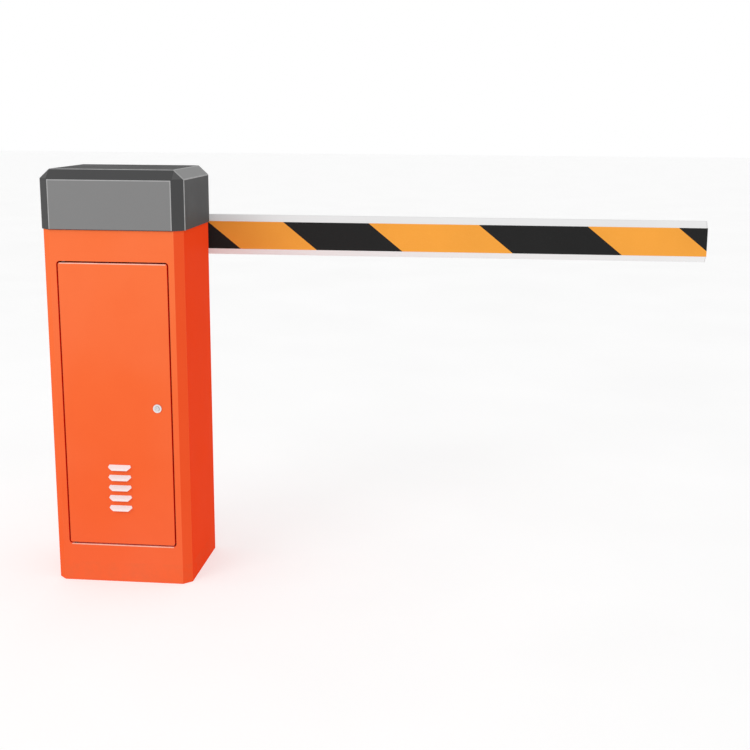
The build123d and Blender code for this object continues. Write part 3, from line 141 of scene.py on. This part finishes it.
# ---------------------------------------------------------------- node helpers
class Graph:
    """Short calls for building one material's nodes."""

    def __init__(self, name):
        self.material = bpy.data.materials.new(name)
        self.material.use_nodes = True
        self.tree = self.material.node_tree
        self.shader = self.tree.nodes["Principled BSDF"]
        place = self.tree.nodes.new("ShaderNodeTexCoord")
        self.coords = place.outputs["Object"]
        self.facing = place.outputs["Normal"]

    def link(self, output, socket):
        self.tree.links.new(output, socket)

    def stretched(self, scale):
        """Object coordinates scaled along each axis."""
        mapping = self.tree.nodes.new("ShaderNodeMapping")
        mapping.inputs["Scale"].default_value = scale
        self.link(self.coords, mapping.inputs["Vector"])
        return mapping.outputs["Vector"]

    def noise(self, scale, detail=3.0, roughness=0.5, vector=None):
        node = self.tree.nodes.new("ShaderNodeTexNoise")
        node.inputs["Scale"].default_value = scale
        node.inputs["Detail"].default_value = detail
        node.inputs["Roughness"].default_value = roughness
        self.link(vector or self.coords, node.inputs["Vector"])
        return node.outputs["Fac"]

    def voronoi(self, scale, feature="F1"):
        node = self.tree.nodes.new("ShaderNodeTexVoronoi")
        node.feature = feature
        node.inputs["Scale"].default_value = scale
        self.link(self.coords, node.inputs["Vector"])
        return node.outputs["Distance"]

    def ramp(self, value, low, high, out_low=0.0, out_high=1.0):
        """Map a value from one range to another, held at the ends."""
        node = self.tree.nodes.new("ShaderNodeMapRange")
        self.link(value, node.inputs["Value"])
        ends = {"From Min": low, "From Max": high, "To Min": out_low, "To Max": out_high}
        for name, number in ends.items():
            node.inputs[name].default_value = number
        return node.outputs["Result"]

    def math(self, operation, a, b=None):
        node = self.tree.nodes.new("ShaderNodeMath")
        node.operation = operation
        for socket, value in zip(node.inputs, (a, b)):
            if isinstance(value, (int, float)):
                socket.default_value = value
            elif value is not None:
                self.link(value, socket)
        return node.outputs[0]

    def mix(self, factor, a, b):
        """Mix two colours; each is a colour tuple or an output."""
        node = self.tree.nodes.new("ShaderNodeMix")
        node.data_type = "RGBA"
        sockets = [s for s in node.inputs if s.type == "RGBA"]
        for socket, value in zip(sockets, (a, b)):
            if isinstance(value, tuple):
                socket.default_value = (*value, 1.0)
            else:
                self.link(value, socket)
        if isinstance(factor, (int, float)):
            node.inputs[0].default_value = factor
        else:
            self.link(factor, node.inputs[0])
        return [s for s in node.outputs if s.type == "RGBA"][0]

    def parts(self, vector):
        """The x, y and z of a vector."""
        split = self.tree.nodes.new("ShaderNodeSeparateXYZ")
        self.link(vector, split.inputs[0])
        return split.outputs["X"], split.outputs["Y"], split.outputs["Z"]

    def weighed(self, *terms, constant=0.0):
        """Sum of output times number pairs, plus a constant."""
        total = constant
        for output, weight in terms:
            total = self.math("ADD", self.math("MULTIPLY", output, weight), total)
        return total

    def both(self, *values):
        """The smallest of several outputs: 1 only where all are 1."""
        least = values[0]
        for value in values[1:]:
            least = self.math("MINIMUM", least, value)
        return least

    def either(self, *values):
        """The largest of several outputs: 1 where any is 1."""
        most = values[0]
        for value in values[1:]:
            most = self.math("MAXIMUM", most, value)
        return most

    def edges(self, radius):
        """1 along convex and concave edges, 0 on open faces."""
        bevel = self.tree.nodes.new("ShaderNodeBevel")
        bevel.samples = 6
        bevel.inputs["Radius"].default_value = radius
        normal = self.tree.nodes.new("ShaderNodeNewGeometry").outputs["Normal"]
        dot = self.tree.nodes.new("ShaderNodeVectorMath")
        dot.operation = "DOT_PRODUCT"
        self.link(bevel.outputs["Normal"], dot.inputs[0])
        self.link(normal, dot.inputs[1])
        return self.ramp(dot.outputs["Value"], 0.99, 0.75)

    def crevice(self, reach):
        """1 deep inside narrow gaps, 0 on open faces."""
        occlusion = self.tree.nodes.new("ShaderNodeAmbientOcclusion")
        occlusion.samples = 8
        occlusion.inputs["Distance"].default_value = reach
        return self.ramp(occlusion.outputs["AO"], 0.55, 0.15)

    def bump(self, height, distance, strength=1.0, under=None):
        node = self.tree.nodes.new("ShaderNodeBump")
        node.inputs["Distance"].default_value = distance
        node.inputs["Strength"].default_value = strength
        self.link(height, node.inputs["Height"])
        if under is not None:
            self.link(under, node.inputs["Normal"])
        return node.outputs["Normal"]

    def finish(self, colour, roughness, normal, metallic=0.0, specular=0.5):
        """Set the shader's inputs and give back the material."""
        shader = self.shader
        self.link(colour, shader.inputs["Base Color"])
        self.link(roughness, shader.inputs["Roughness"])
        self.link(normal, shader.inputs["Normal"])
        shader.inputs["Metallic"].default_value = metallic
        shader.inputs["Specular IOR Level"].default_value = specular
        return self.material


def shade(colour, factor):
    return tuple(min(1.0, c * factor) for c in colour)


# ---------------------------------------------------------------- materials
def powder_skin(g, base, roughness, peel=0.00006, specular=0.3):
    """Finish a powder coat: soft roughness drift, orange peel and fine grit under the given colour."""
    rough = g.ramp(g.noise(9.0, 3.0), 0.3, 0.7, roughness - 0.05, roughness + 0.06)
    normal = g.bump(g.noise(420.0, 2.0), peel)
    normal = g.bump(g.voronoi(900.0), peel * 0.25, 0.6, normal)
    return g.finish(base, rough, normal, specular=specular)


def tinted(g, low, high):
    """Slow drift between two nearby colours, with faint darker clouds."""
    base = g.mix(g.ramp(g.noise(2.3, 2.0), 0.3, 0.7), low, high)
    return g.mix(g.ramp(g.noise(14.0, 4.0), 0.45, 0.8, 0.0, 0.06), base, shade(low, 0.8))


def rubbed(g, radius=0.0011, low=0.15, high=0.7):
    """Patchy wear along edges."""
    return g.both(g.edges(radius), g.ramp(g.noise(55.0, 4.0, 0.65), 0.38, 0.62, low, high))


def powder_coat(name, colour, worn, roughness=0.42, specular=0.3):
    """Plain powder-coated metal, with edges rubbed lighter."""
    g = Graph(name)
    base = g.mix(rubbed(g), tinted(g, shade(colour, 0.97), shade(colour, 1.03)), worn)
    return powder_skin(g, base, roughness, specular=specular)


def orange_coat():
    """The body's paint, deep orange on the sides, with painted light: lighter on the front and left faces and
    towards the top, with pale clouds of painted sheen on the front.

    Painted highlights run along the top of the door and under its lower gap, edges are rubbed paler, narrow
    gaps turn deep red as painted shade, and dust lies low down.
    """
    g = Graph("powder_orange")
    x, y, z = g.parts(g.coords)
    normal_x, normal_y, _ = g.parts(g.facing)
    # painted light: faces to the front and left, and higher up, get the lit orange; the sides keep the deeper
    # orange as painted shade
    front = g.ramp(normal_y, -0.60, -0.98)
    foot = g.ramp(z, 0.0, 0.09, 0.34, 0.53)
    high = g.either(foot, g.ramp(z, 0.1, 0.9, 0.53, 0.96))
    left = g.ramp(normal_x, -0.4, -0.75)
    base = g.mix(g.both(g.either(front, left), high), ORANGE_DEEP, ORANGE_LIT)
    # painted sheen: pale clouds on the front faces only
    sheen_cloud = g.ramp(g.noise(3.0, 2.0), 0.35, 0.7, 0.0, 0.12)
    base = g.mix(g.math("MULTIPLY", sheen_cloud, front), base, ORANGE_SHEEN_AND_WEAR)
    base = g.mix(g.ramp(g.noise(14.0, 4.0), 0.45, 0.8, 0.0, 0.05), base, shade(ORANGE_DEEP, 0.8))
    dust = g.both(g.ramp(z, 0.05, 0.0), g.ramp(g.noise(38.0, 5.0, 0.6), 0.42, 0.72, 0.0, 0.12))
    base = g.mix(dust, base, (0.45, 0.16, 0.08))
    base = g.mix(rubbed(g, low=0.0, high=0.35), base, ORANGE_SHEEN_AND_WEAR)
    base = g.mix(g.crevice(0.014), base, ORANGE_SHADE)
    # painted highlights along the door's top edge and under its lower gap
    base = g.mix(g.both(painted_highlight_lines(g, x, y, z), highlight_unevenness(g)), base, ORANGE_EDGE_HIGHLIGHT)
    return powder_skin(g, base, 0.5, specular=0.002)


def highlight_unevenness(g):
    """Uneven strength along the painted highlight lines."""
    return g.ramp(g.noise(40.0, 3.0), 0.2, 0.6, 0.6, 1.0)


def rising_line(g, value, edge, width):
    """1 from a width below an edge upwards."""
    return g.ramp(value, edge - width, edge - width + LINE_FADE)


def band(g, z, edge):
    """1 in a narrow band just below a height."""
    below = g.ramp(z, edge + LINE_OVERHANG, edge + LINE_FADE)
    return g.both(rising_line(g, z, edge, EDGE_LINE), below)


def painted_highlight_lines(g, x, y, z):
    """1 along the door's top edge and along the body's edge under the door, at the front only: where painted
    highlights go.
    """
    low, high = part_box("door_panel")
    across = g.ramp(g.math("ABSOLUTE", x), high.x - LINE_INSET, high.x - 2 * LINE_INSET)
    at_front = g.ramp(y, high.y + LINE_DEPTH, high.y)
    return g.both(across, at_front, g.either(band(g, z, high.z), band(g, z, low.z - DOOR_GAP)))


def hood_coat():
    """The hood's dark paint, with painted light: a painted highlight on the sloped sides, painted shade
    darkening the top, and painted highlights along its folds.
    """
    g = Graph("powder_dark_grey")
    base = tinted(g, shade(HOOD_GREY, 0.96), shade(HOOD_GREY, 1.04))
    normal_x, _, normal_z = g.parts(g.facing)
    # painted highlight: the sloped side facets are painted paler
    slope = g.both(g.ramp(g.math("ABSOLUTE", normal_x), 0.55, 0.62), g.ramp(normal_z, 0.6, 0.68))
    base = g.mix(slope, base, HOOD_SLOPE_HIGHLIGHT)
    # painted shade: faces looking straight up are darker
    base = g.mix(g.ramp(normal_z, 0.90, 0.98), base, shade(HOOD_GREY, 0.79))
    # painted highlights along the hood's folds
    fold = rising_line(g, hood_folds(g), 0.0, FOLD_LINE)
    base = g.mix(g.both(fold, highlight_unevenness(g)), base, HOOD_FOLD_HIGHLIGHT)
    return powder_skin(g, base, 0.5, specular=0.04)


def hood_folds(g):
    """Minus the distance to the nearest fold that carries a painted highlight.

    The hood is the inside of seven kinds of plane, mirrored in x and y. Where two kinds meet is a fold.
    """
    _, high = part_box("hood_shell")
    _, panel_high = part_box("hood_front_panel")
    x, y, z = g.parts(g.coords)
    x = g.math("ABSOLUTE", x)
    y = g.math("ABSOLUTE", y)
    bevel = high.x - panel_high.x - HOOD_PANEL_MARGIN
    shoulder = panel_high.z + HOOD_PANEL_MARGIN
    drop = high.z - shoulder
    slope = math.hypot(bevel, drop)
    side = g.weighed((x, 1.0), constant=-high.x)
    corner = g.weighed((x, 0.7071), (y, 0.7071), constant=-0.7071 * (high.x + high.y - bevel))
    top = g.weighed((z, 1.0), constant=-high.z)
    side_slope = g.weighed((x, drop / slope), (z, bevel / slope),
                           constant=-(high.x * drop + shoulder * bevel) / slope)
    front_slope = g.weighed((y, drop / slope), (z, bevel / slope),
                            constant=-(high.y * drop + shoulder * bevel) / slope)
    lean = bevel / drop
    size = math.sqrt(2.0 + lean * lean)
    hip = g.weighed((x, 1 / size), (y, 1 / size), (z, lean / size),
                    constant=-(high.x + high.y - bevel + shoulder * lean) / size)
    along_side = g.both(side_slope, g.either(side, hip, top))
    along_front = g.both(top, front_slope)
    upright = g.both(side, corner)
    return g.either(along_side, along_front, upright)


def panel_coat():
    """The hood's front panel: mid grey, with a painted highlight line along its top and sides."""
    g = Graph("powder_mid_grey")
    _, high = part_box("hood_front_panel")
    x, _, z = g.parts(g.coords)
    sides = rising_line(g, g.math("ABSOLUTE", x), high.x, EDGE_LINE)
    border = g.either(sides, rising_line(g, z, high.z, EDGE_LINE))
    base = tinted(g, shade(PANEL_GREY, 0.98), shade(PANEL_GREY, 1.02))
    # painted highlight along the panel's top and sides
    base = g.mix(g.both(border, highlight_unevenness(g)), base, PANEL_EDGE_HIGHLIGHT)
    return powder_skin(g, base, 0.5, specular=0.12)


def bare_metal(name, colour, roughness, grain=(60.0, 60.0, 900.0), stain=(0.20, 0.17, 0.13), metallic=1.0,
               bump=0.00002):
    """Plated, ground or oiled steel: directional grain, blotches and dull stains in places."""
    g = Graph(name)
    streak = g.noise(1.0, 3.0, 0.6, g.stretched(grain))
    blotch = g.noise(26.0, 4.0, 0.6)
    base = g.mix(g.ramp(blotch, 0.3, 0.7), shade(colour, 0.82), shade(colour, 1.12))
    base = g.mix(g.ramp(streak, 0.3, 0.75, 0.0, 0.25), base, shade(colour, 0.6))
    base = g.mix(g.ramp(g.noise(70.0, 5.0, 0.7), 0.62, 0.78, 0.0, 0.35), base, stain)
    rough = g.ramp(blotch, 0.3, 0.7, roughness - 0.08, roughness + 0.10)
    return g.finish(base, rough, g.bump(streak, bump), metallic=metallic)


def casting(name, colour, metallic, roughness):
    """Sand or die casting: pebbled skin with darker pits and bright rubbed edges."""
    g = Graph(name)
    pebbles = g.noise(330.0, 4.0, 0.6)
    blotch = g.noise(18.0, 3.0)
    base = g.mix(g.ramp(blotch, 0.3, 0.7), shade(colour, 0.8), shade(colour, 1.15))
    base = g.mix(g.ramp(pebbles, 0.5, 0.75, 0.0, 0.3), base, shade(colour, 0.5))
    base = g.mix(g.math("MULTIPLY", g.edges(0.0012), 0.5), base, shade(colour, 1.9))
    rough = g.ramp(pebbles, 0.3, 0.7, roughness - 0.06, roughness + 0.12)
    return g.finish(base, rough, g.bump(pebbles, 0.00025), metallic=metallic)


def plastic(name, colour, roughness, texture=0.00004, specular=0.45):
    """Moulded plastic: fine spark texture, a faint flow pattern and paler edges."""
    g = Graph(name)
    flow = g.noise(11.0, 3.0)
    base = g.mix(g.ramp(flow, 0.3, 0.7), shade(colour, 0.95), shade(colour, 1.03))
    base = g.mix(g.ramp(g.noise(90.0, 5.0, 0.7), 0.6, 0.8, 0.0, 0.18), base, shade(colour, 0.8))
    base = g.mix(g.math("MULTIPLY", g.edges(0.0008), 0.35), base, shade(colour, 1.25))
    rough = g.ramp(flow, 0.3, 0.7, roughness - 0.05, roughness + 0.07)
    return g.finish(base, rough, g.bump(g.noise(700.0, 2.0), texture), specular=specular)


def rubber(name, colour, roughness=0.75):
    """Rubber: matt, with bloom and tiny pits."""
    g = Graph(name)
    bloom = g.noise(34.0, 5.0, 0.65)
    base = g.mix(g.ramp(bloom, 0.45, 0.75, 0.0, 0.4), colour, shade(colour, 3.2))
    rough = g.ramp(bloom, 0.3, 0.7, roughness - 0.1, roughness + 0.1)
    return g.finish(base, rough, g.bump(g.voronoi(600.0), 0.00008), specular=0.3)


def reflective_tape(name, colour, sparkle):
    """Retroreflective film: a fine field of cells under a smooth clear face."""
    g = Graph(name)
    cells = g.voronoi(330.0, "DISTANCE_TO_EDGE")
    drift = g.noise(5.0, 3.0)
    base = g.mix(g.ramp(drift, 0.3, 0.7), shade(colour, 0.95), shade(colour, 1.04))
    base = g.mix(g.ramp(cells, 0.0, 0.12, 0.35, 0.0), base, sparkle)
    scratch = g.noise(1.0, 4.0, 0.7, g.stretched((9.0, 9.0, 420.0)))
    base = g.mix(g.ramp(scratch, 0.66, 0.76, 0.0, 0.25), base, shade(colour, 0.8))
    rough = g.ramp(scratch, 0.4, 0.8, 0.34, 0.5)
    normal = g.bump(cells, 0.00003)
    return g.finish(base, rough, normal, specular=0.06)


MATERIALS = {
    "body_orange": orange_coat(),
    "hood_grey": hood_coat(),
    "panel_grey": panel_coat(),
    "boom_white": powder_coat("powder_white", (0.87, 0.87, 0.87), (0.9, 0.9, 0.9), 0.45, specular=0.05),
    "black_steel": powder_coat("powder_black", (0.028, 0.028, 0.03), (0.16, 0.16, 0.16), roughness=0.45),
    "zinc_steel": bare_metal("zinc_plate", (0.60, 0.61, 0.63), 0.36),
    "shaft_steel": bare_metal("ground_steel", (0.50, 0.50, 0.51), 0.25, grain=(900.0, 60.0, 900.0)),
    "spring_steel": bare_metal("oiled_spring_steel", (0.20, 0.20, 0.21), 0.34),
    "lock_metal": bare_metal("nickel_plate", (0.80, 0.79, 0.80), 0.35, stain=(0.6, 0.58, 0.55), metallic=0.6),
    "bronze": bare_metal("bronze", (0.60, 0.38, 0.16), 0.3),
    "cast_grey": casting("cast_iron", (0.13, 0.15, 0.16), 0.2, 0.5),
    "gearbox_aluminium": casting("die_cast_aluminium", (0.52, 0.53, 0.54), 0.9, 0.42),
    "cap_white": plastic("cap_plastic", (0.84, 0.84, 0.84), 0.4, specular=0.1),
    # painted highlight: pinkish white that stands for the glare on the louvres' sloped faces
    "louvre_white": plastic("louvre_painted_highlight", (0.98, 0.83, 0.83), 0.42, specular=0.1),
    "box_grey": plastic("enclosure_plastic", (0.50, 0.52, 0.52), 0.5, texture=0.00012),
    "board_green": plastic("solder_resist", (0.02, 0.16, 0.06), 0.3),
    "nylon_black": plastic("nylon", (0.03, 0.03, 0.03), 0.5),
    "rubber_black": rubber("black_rubber", (0.02, 0.02, 0.02)),
    "cable_black": rubber("cable_sheath", (0.022, 0.022, 0.024), 0.5),
    "tape_black": reflective_tape("black_film", (0.018, 0.018, 0.018), (0.035, 0.035, 0.035)),
    "tape_orange": reflective_tape("orange_film", (0.92, 0.375, 0.050), (1.0, 0.46, 0.09)),
}


# ---------------------------------------------------------------- CAD nodes
def dress_nodes():
    """Give every CAD node the material of its slot."""
    for entry in frame["record"]["subparts"]:
        thing = nodes[entry["node"]]
        thing.data.materials.clear()
        thing.data.materials.append(MATERIALS[entry["material_slot"]])


def soften(name, width, segments=3, angle=20.0):
    """Round a CAD node's edges with modifiers; its mesh stays as packed."""
    thing = nodes[name]
    weld = thing.modifiers.new("weld", "WELD")
    weld.merge_threshold = 0.00002
    plain = thing.modifiers.new("plain", "DECIMATE")
    plain.decimate_type = "DISSOLVE"
    plain.angle_limit = math.radians(0.3)
    bevel = thing.modifiers.new("bevel", "BEVEL")
    bevel.width = width
    bevel.segments = segments
    bevel.limit_method = "ANGLE"
    bevel.angle_limit = math.radians(angle)
    weighted = thing.modifiers.new("weighted", "WEIGHTED_NORMAL")
    weighted.keep_sharp = True


# ---------------------------------------------------------------- stage
def look(place, target):
    """Rotation that points -Z from the place to the target."""
    return (Vector(target) - Vector(place)).to_track_quat("-Z", "Y").to_matrix().to_4x4()


def add_camera():
    """Camera that sees the object as the picture does."""
    yaw, pitch, roll = (math.radians(a) for a in (CAMERA_YAW, CAMERA_PITCH, CAMERA_ROLL))
    ahead = Vector((math.sin(yaw) * math.cos(pitch), math.cos(yaw) * math.cos(pitch), math.sin(pitch)))
    right = Vector((math.cos(yaw), -math.sin(yaw), 0.0))
    up = right.cross(ahead)
    right_rolled = right * math.cos(roll) - up * math.sin(roll)
    up_rolled = up * math.cos(roll) + right * math.sin(roll)
    data = bpy.data.cameras.new("camera")
    data.lens = CAMERA_LENS
    data.sensor_width = SENSOR
    camera = bpy.data.objects.new("camera", data)
    axes = Matrix((right_rolled, up_rolled, -ahead)).transposed().to_4x4()
    camera.matrix_world = Matrix.Translation(CAMERA_PLACE) @ axes
    bpy.context.scene.collection.objects.link(camera)
    bpy.context.scene.camera = camera


def area_light(name, place, target, size, power):
    """White rectangular lamp at a place, aimed at a target."""
    data = bpy.data.lights.new(name, "AREA")
    data.shape = "RECTANGLE"
    data.size, data.size_y = size
    data.energy = power
    light = bpy.data.objects.new(name, data)
    light.matrix_world = Matrix.Translation(place) @ look(place, target)
    bpy.context.scene.collection.objects.link(light)


def add_world():
    """White behind the object, and an even pale light all round."""
    world = bpy.data.worlds.new("studio")
    world.use_nodes = True
    bpy.context.scene.world = world
    tree = world.node_tree
    background = tree.nodes["Background"]
    seen = tree.nodes.new("ShaderNodeLightPath").outputs["Is Camera Ray"]
    strength = tree.nodes.new("ShaderNodeMapRange")
    tree.links.new(seen, strength.inputs["Value"])
    strength.inputs["To Min"].default_value = WORLD_LIGHT
    strength.inputs["To Max"].default_value = 1.0
    tree.links.new(strength.outputs["Result"], background.inputs["Strength"])
    background.inputs["Color"].default_value = (1.0, 1.0, 1.0, 1.0)


def add_floor():
    """Plain pale floor, faintly lit from within so that it stays as pale as the backdrop far away."""
    low = cad_box[0][2]
    mesh = bpy.data.meshes.new("floor")
    corners = [(x * FLOOR_REACH, y * FLOOR_REACH, low) for x, y in ((-1, -1), (1, -1), (1, 1), (-1, 1))]
    mesh.from_pydata(corners, [], [(0, 1, 2, 3)])
    floor = bpy.data.objects.new("floor", mesh)
    bpy.context.scene.collection.objects.link(floor)
    g = Graph("floor")
    base = g.mix(g.ramp(g.noise(1.5, 3.0), 0.3, 0.7), (0.54, 0.54, 0.54), (0.57, 0.57, 0.57))
    g.shader.inputs["Emission Color"].default_value = (1.0, 1.0, 1.0, 1.0)
    g.shader.inputs["Emission Strength"].default_value = FLOOR_GLOW
    rough = g.ramp(g.noise(4.0), 0.3, 0.7, 0.7, 0.85)
    mesh.materials.append(g.finish(base, rough, g.bump(g.noise(300.0), 0.00002), specular=0.1))


# ---------------------------------------------------------------- pieces made here
def new_piece(name, points, faces, slot, body):
    """Mesh object with the slot's material that rides on a body."""
    mesh = bpy.data.meshes.new(name)
    mesh.from_pydata(points, [], faces)
    mesh.validate()
    mesh.update()
    mesh.polygons.foreach_set("use_smooth", [True] * len(mesh.polygons))
    mesh.materials.append(MATERIALS[slot])
    piece = bpy.data.objects.new(name, mesh)
    bpy.context.scene.collection.objects.link(piece)
    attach(piece, body)
    return piece


def helix(centre_x, centre_y, low, high, radius, wire, turns):
    """Points and faces of one closed-ended coil of round wire."""
    around = 24
    ring = 8
    steps = turns * around
    rise = high - low - 2 * wire
    points = []
    for i in range(steps + 1):
        angle = 2 * math.pi * i / around
        z = low + wire + rise * i / steps
        for k in range(ring):
            turn = 2 * math.pi * k / ring
            out = radius + wire * math.cos(turn)
            points.append((centre_x + out * math.cos(angle), centre_y + out * math.sin(angle),
                           z + wire * math.sin(turn)))
    faces = []
    for i in range(steps):
        for k in range(ring):
            a = i * ring + k
            b = i * ring + (k + 1) % ring
            faces.append((a, b, b + ring, a + ring))
    faces.append(tuple(range(ring - 1, -1, -1)))
    faces.append(tuple(range(steps * ring, (steps + 1) * ring)))
    return points, faces


def add_springs():
    """Two real coils in place of the plain envelopes."""
    low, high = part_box("balance_springs")
    outer = (high.x - low.x) / 2
    wire = SPRING_WIRE / 2
    for name, y in (("front", low.y + outer), ("back", high.y - outer)):
        points, faces = helix((low.x + high.x) / 2, y, low.z, high.z, outer - wire, wire, SPRING_TURNS)
        coil = new_piece("coil_" + name, points, faces, "spring_steel", "cabinet")
        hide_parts("balance_springs")
        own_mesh(coil)


def add_motor_ribs():
    """Cooling ribs down the motor can, which stop short of its ends."""
    low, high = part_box("motor_can")
    middle = (low + high) / 2
    radius = (high.x - low.x) / 2
    root = radius - RIB_SINK
    tip = radius + RIB_RISE
    points = []
    faces = []
    for i in range(MOTOR_RIBS):
        angle = 2 * math.pi * (i + 0.5) / MOTOR_RIBS
        half = RIB_SHARE * 2 * math.pi / MOTOR_RIBS
        start = len(points)
        for z in (low.z + RIB_FROM_BOTTOM, high.z - RIB_FROM_TOP):
            for out, turn in ((root, -half), (tip, -half * 0.5), (tip, half * 0.5), (root, half)):
                x = middle.x + out * math.cos(angle + turn)
                y = middle.y + out * math.sin(angle + turn)
                points.append((x, y, z))
        for k in range(4):
            j = (k + 1) % 4
            faces.append((start + k, start + j, start + 4 + j, start + 4 + k))
        faces.append((start + 3, start + 2, start + 1, start))
        faces.append((start + 4, start + 5, start + 6, start + 7))
    ribs = new_piece("motor_ribs", points, faces, "cast_grey", "cabinet")
    ribs.data.polygons.foreach_set("use_smooth", [False] * len(ribs.data.polygons))


def screw_head(centre, across, radius, tall):
    """Points and faces of a domed screw head with a hexagon socket; across is its outward direction."""
    side = Vector((0, 0, 1)) if abs(across.z) < 0.5 else Vector((1, 0, 0))
    other = across.cross(side)
    sections = ((radius, 0.0), (radius, 0.55 * tall), (0.85 * radius, 0.9 * tall), (0.55 * radius, tall),
                (0.5 * radius, tall), (0.5 * radius, 0.4 * tall))
    points = []
    for out, rise in sections:
        for k in range(SCREW_SIDES):
            turn = 2 * math.pi * k / SCREW_SIDES
            reach = out * (0.9 if k % 2 and out == 0.5 * radius else 1.0)
            radial = side * (reach * math.cos(turn)) + other * (reach * math.sin(turn))
            points.append(tuple(centre + radial + across * rise))
    faces = []
    for i in range(len(sections) - 1):
        for k in range(SCREW_SIDES):
            j = (k + 1) % SCREW_SIDES
            near = SCREW_SIDES * i
            far = near + SCREW_SIDES
            faces.append((near + k, near + j, far + j, far + k))
    faces.append(tuple(range(SCREW_SIDES - 1, -1, -1)))
    last = SCREW_SIDES * (len(sections) - 1)
    faces.append(tuple(range(last, last + SCREW_SIDES)))
    return points, faces


def add_screws(name, centres, across, radius, tall):
    """Several screw heads in one piece."""
    points = []
    faces = []
    for centre in centres:
        new_points, new_faces = screw_head(centre, across, radius, tall)
        faces += [tuple(len(points) + i for i in face) for face in new_faces]
        points += new_points
    screws = new_piece(name, points, faces, "zinc_steel", "cabinet")
    screws.data.set_sharp_from_angle(angle=math.radians(35))


def add_lid_screws():
    """One screw head at each corner of the control box's lid."""
    low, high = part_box("control_box_lid")
    rows = (low.y + LID_SCREW_INSET, high.y - LID_SCREW_INSET)
    heights = (low.z + LID_SCREW_INSET, high.z - LID_SCREW_INSET)
    centres = [Vector((high.x, y, z)) for y in rows for z in heights]
    add_screws("lid_screws", centres, Vector((1, 0, 0)), LID_SCREW_RADIUS, LID_SCREW_RISE)


def add_cover_screws():
    """Low heads: they rise half of the way to the crank arm, which turns past them."""
    low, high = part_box("gearbox_cover")
    room = low.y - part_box("crank_arm")[1].y
    middle = (low + high) / 2
    circle = (high.x - low.x) / 2 - COVER_SCREW_INSET
    centres = []
    for i in range(COVER_SCREWS):
        turn = 2 * math.pi * (i + 0.5) / COVER_SCREWS
        x = middle.x + circle * math.cos(turn)
        z = middle.z + circle * math.sin(turn)
        centres.append(Vector((x, low.y, z)))
    add_screws("gearbox_cover_screws", centres, Vector((0, -1, 0)), COVER_SCREW_RADIUS, room / 2)


dress_nodes()
for name, width in SOFTENED.items():
    soften(name, width)
add_springs()
add_motor_ribs()
add_lid_screws()
add_cover_screws()
add_camera()
add_world()
add_floor()
area_light("key", KEY_PLACE, KEY_TARGET, KEY_SIZE, KEY_POWER)
bpy.context.scene.view_settings.view_transform = "Standard"
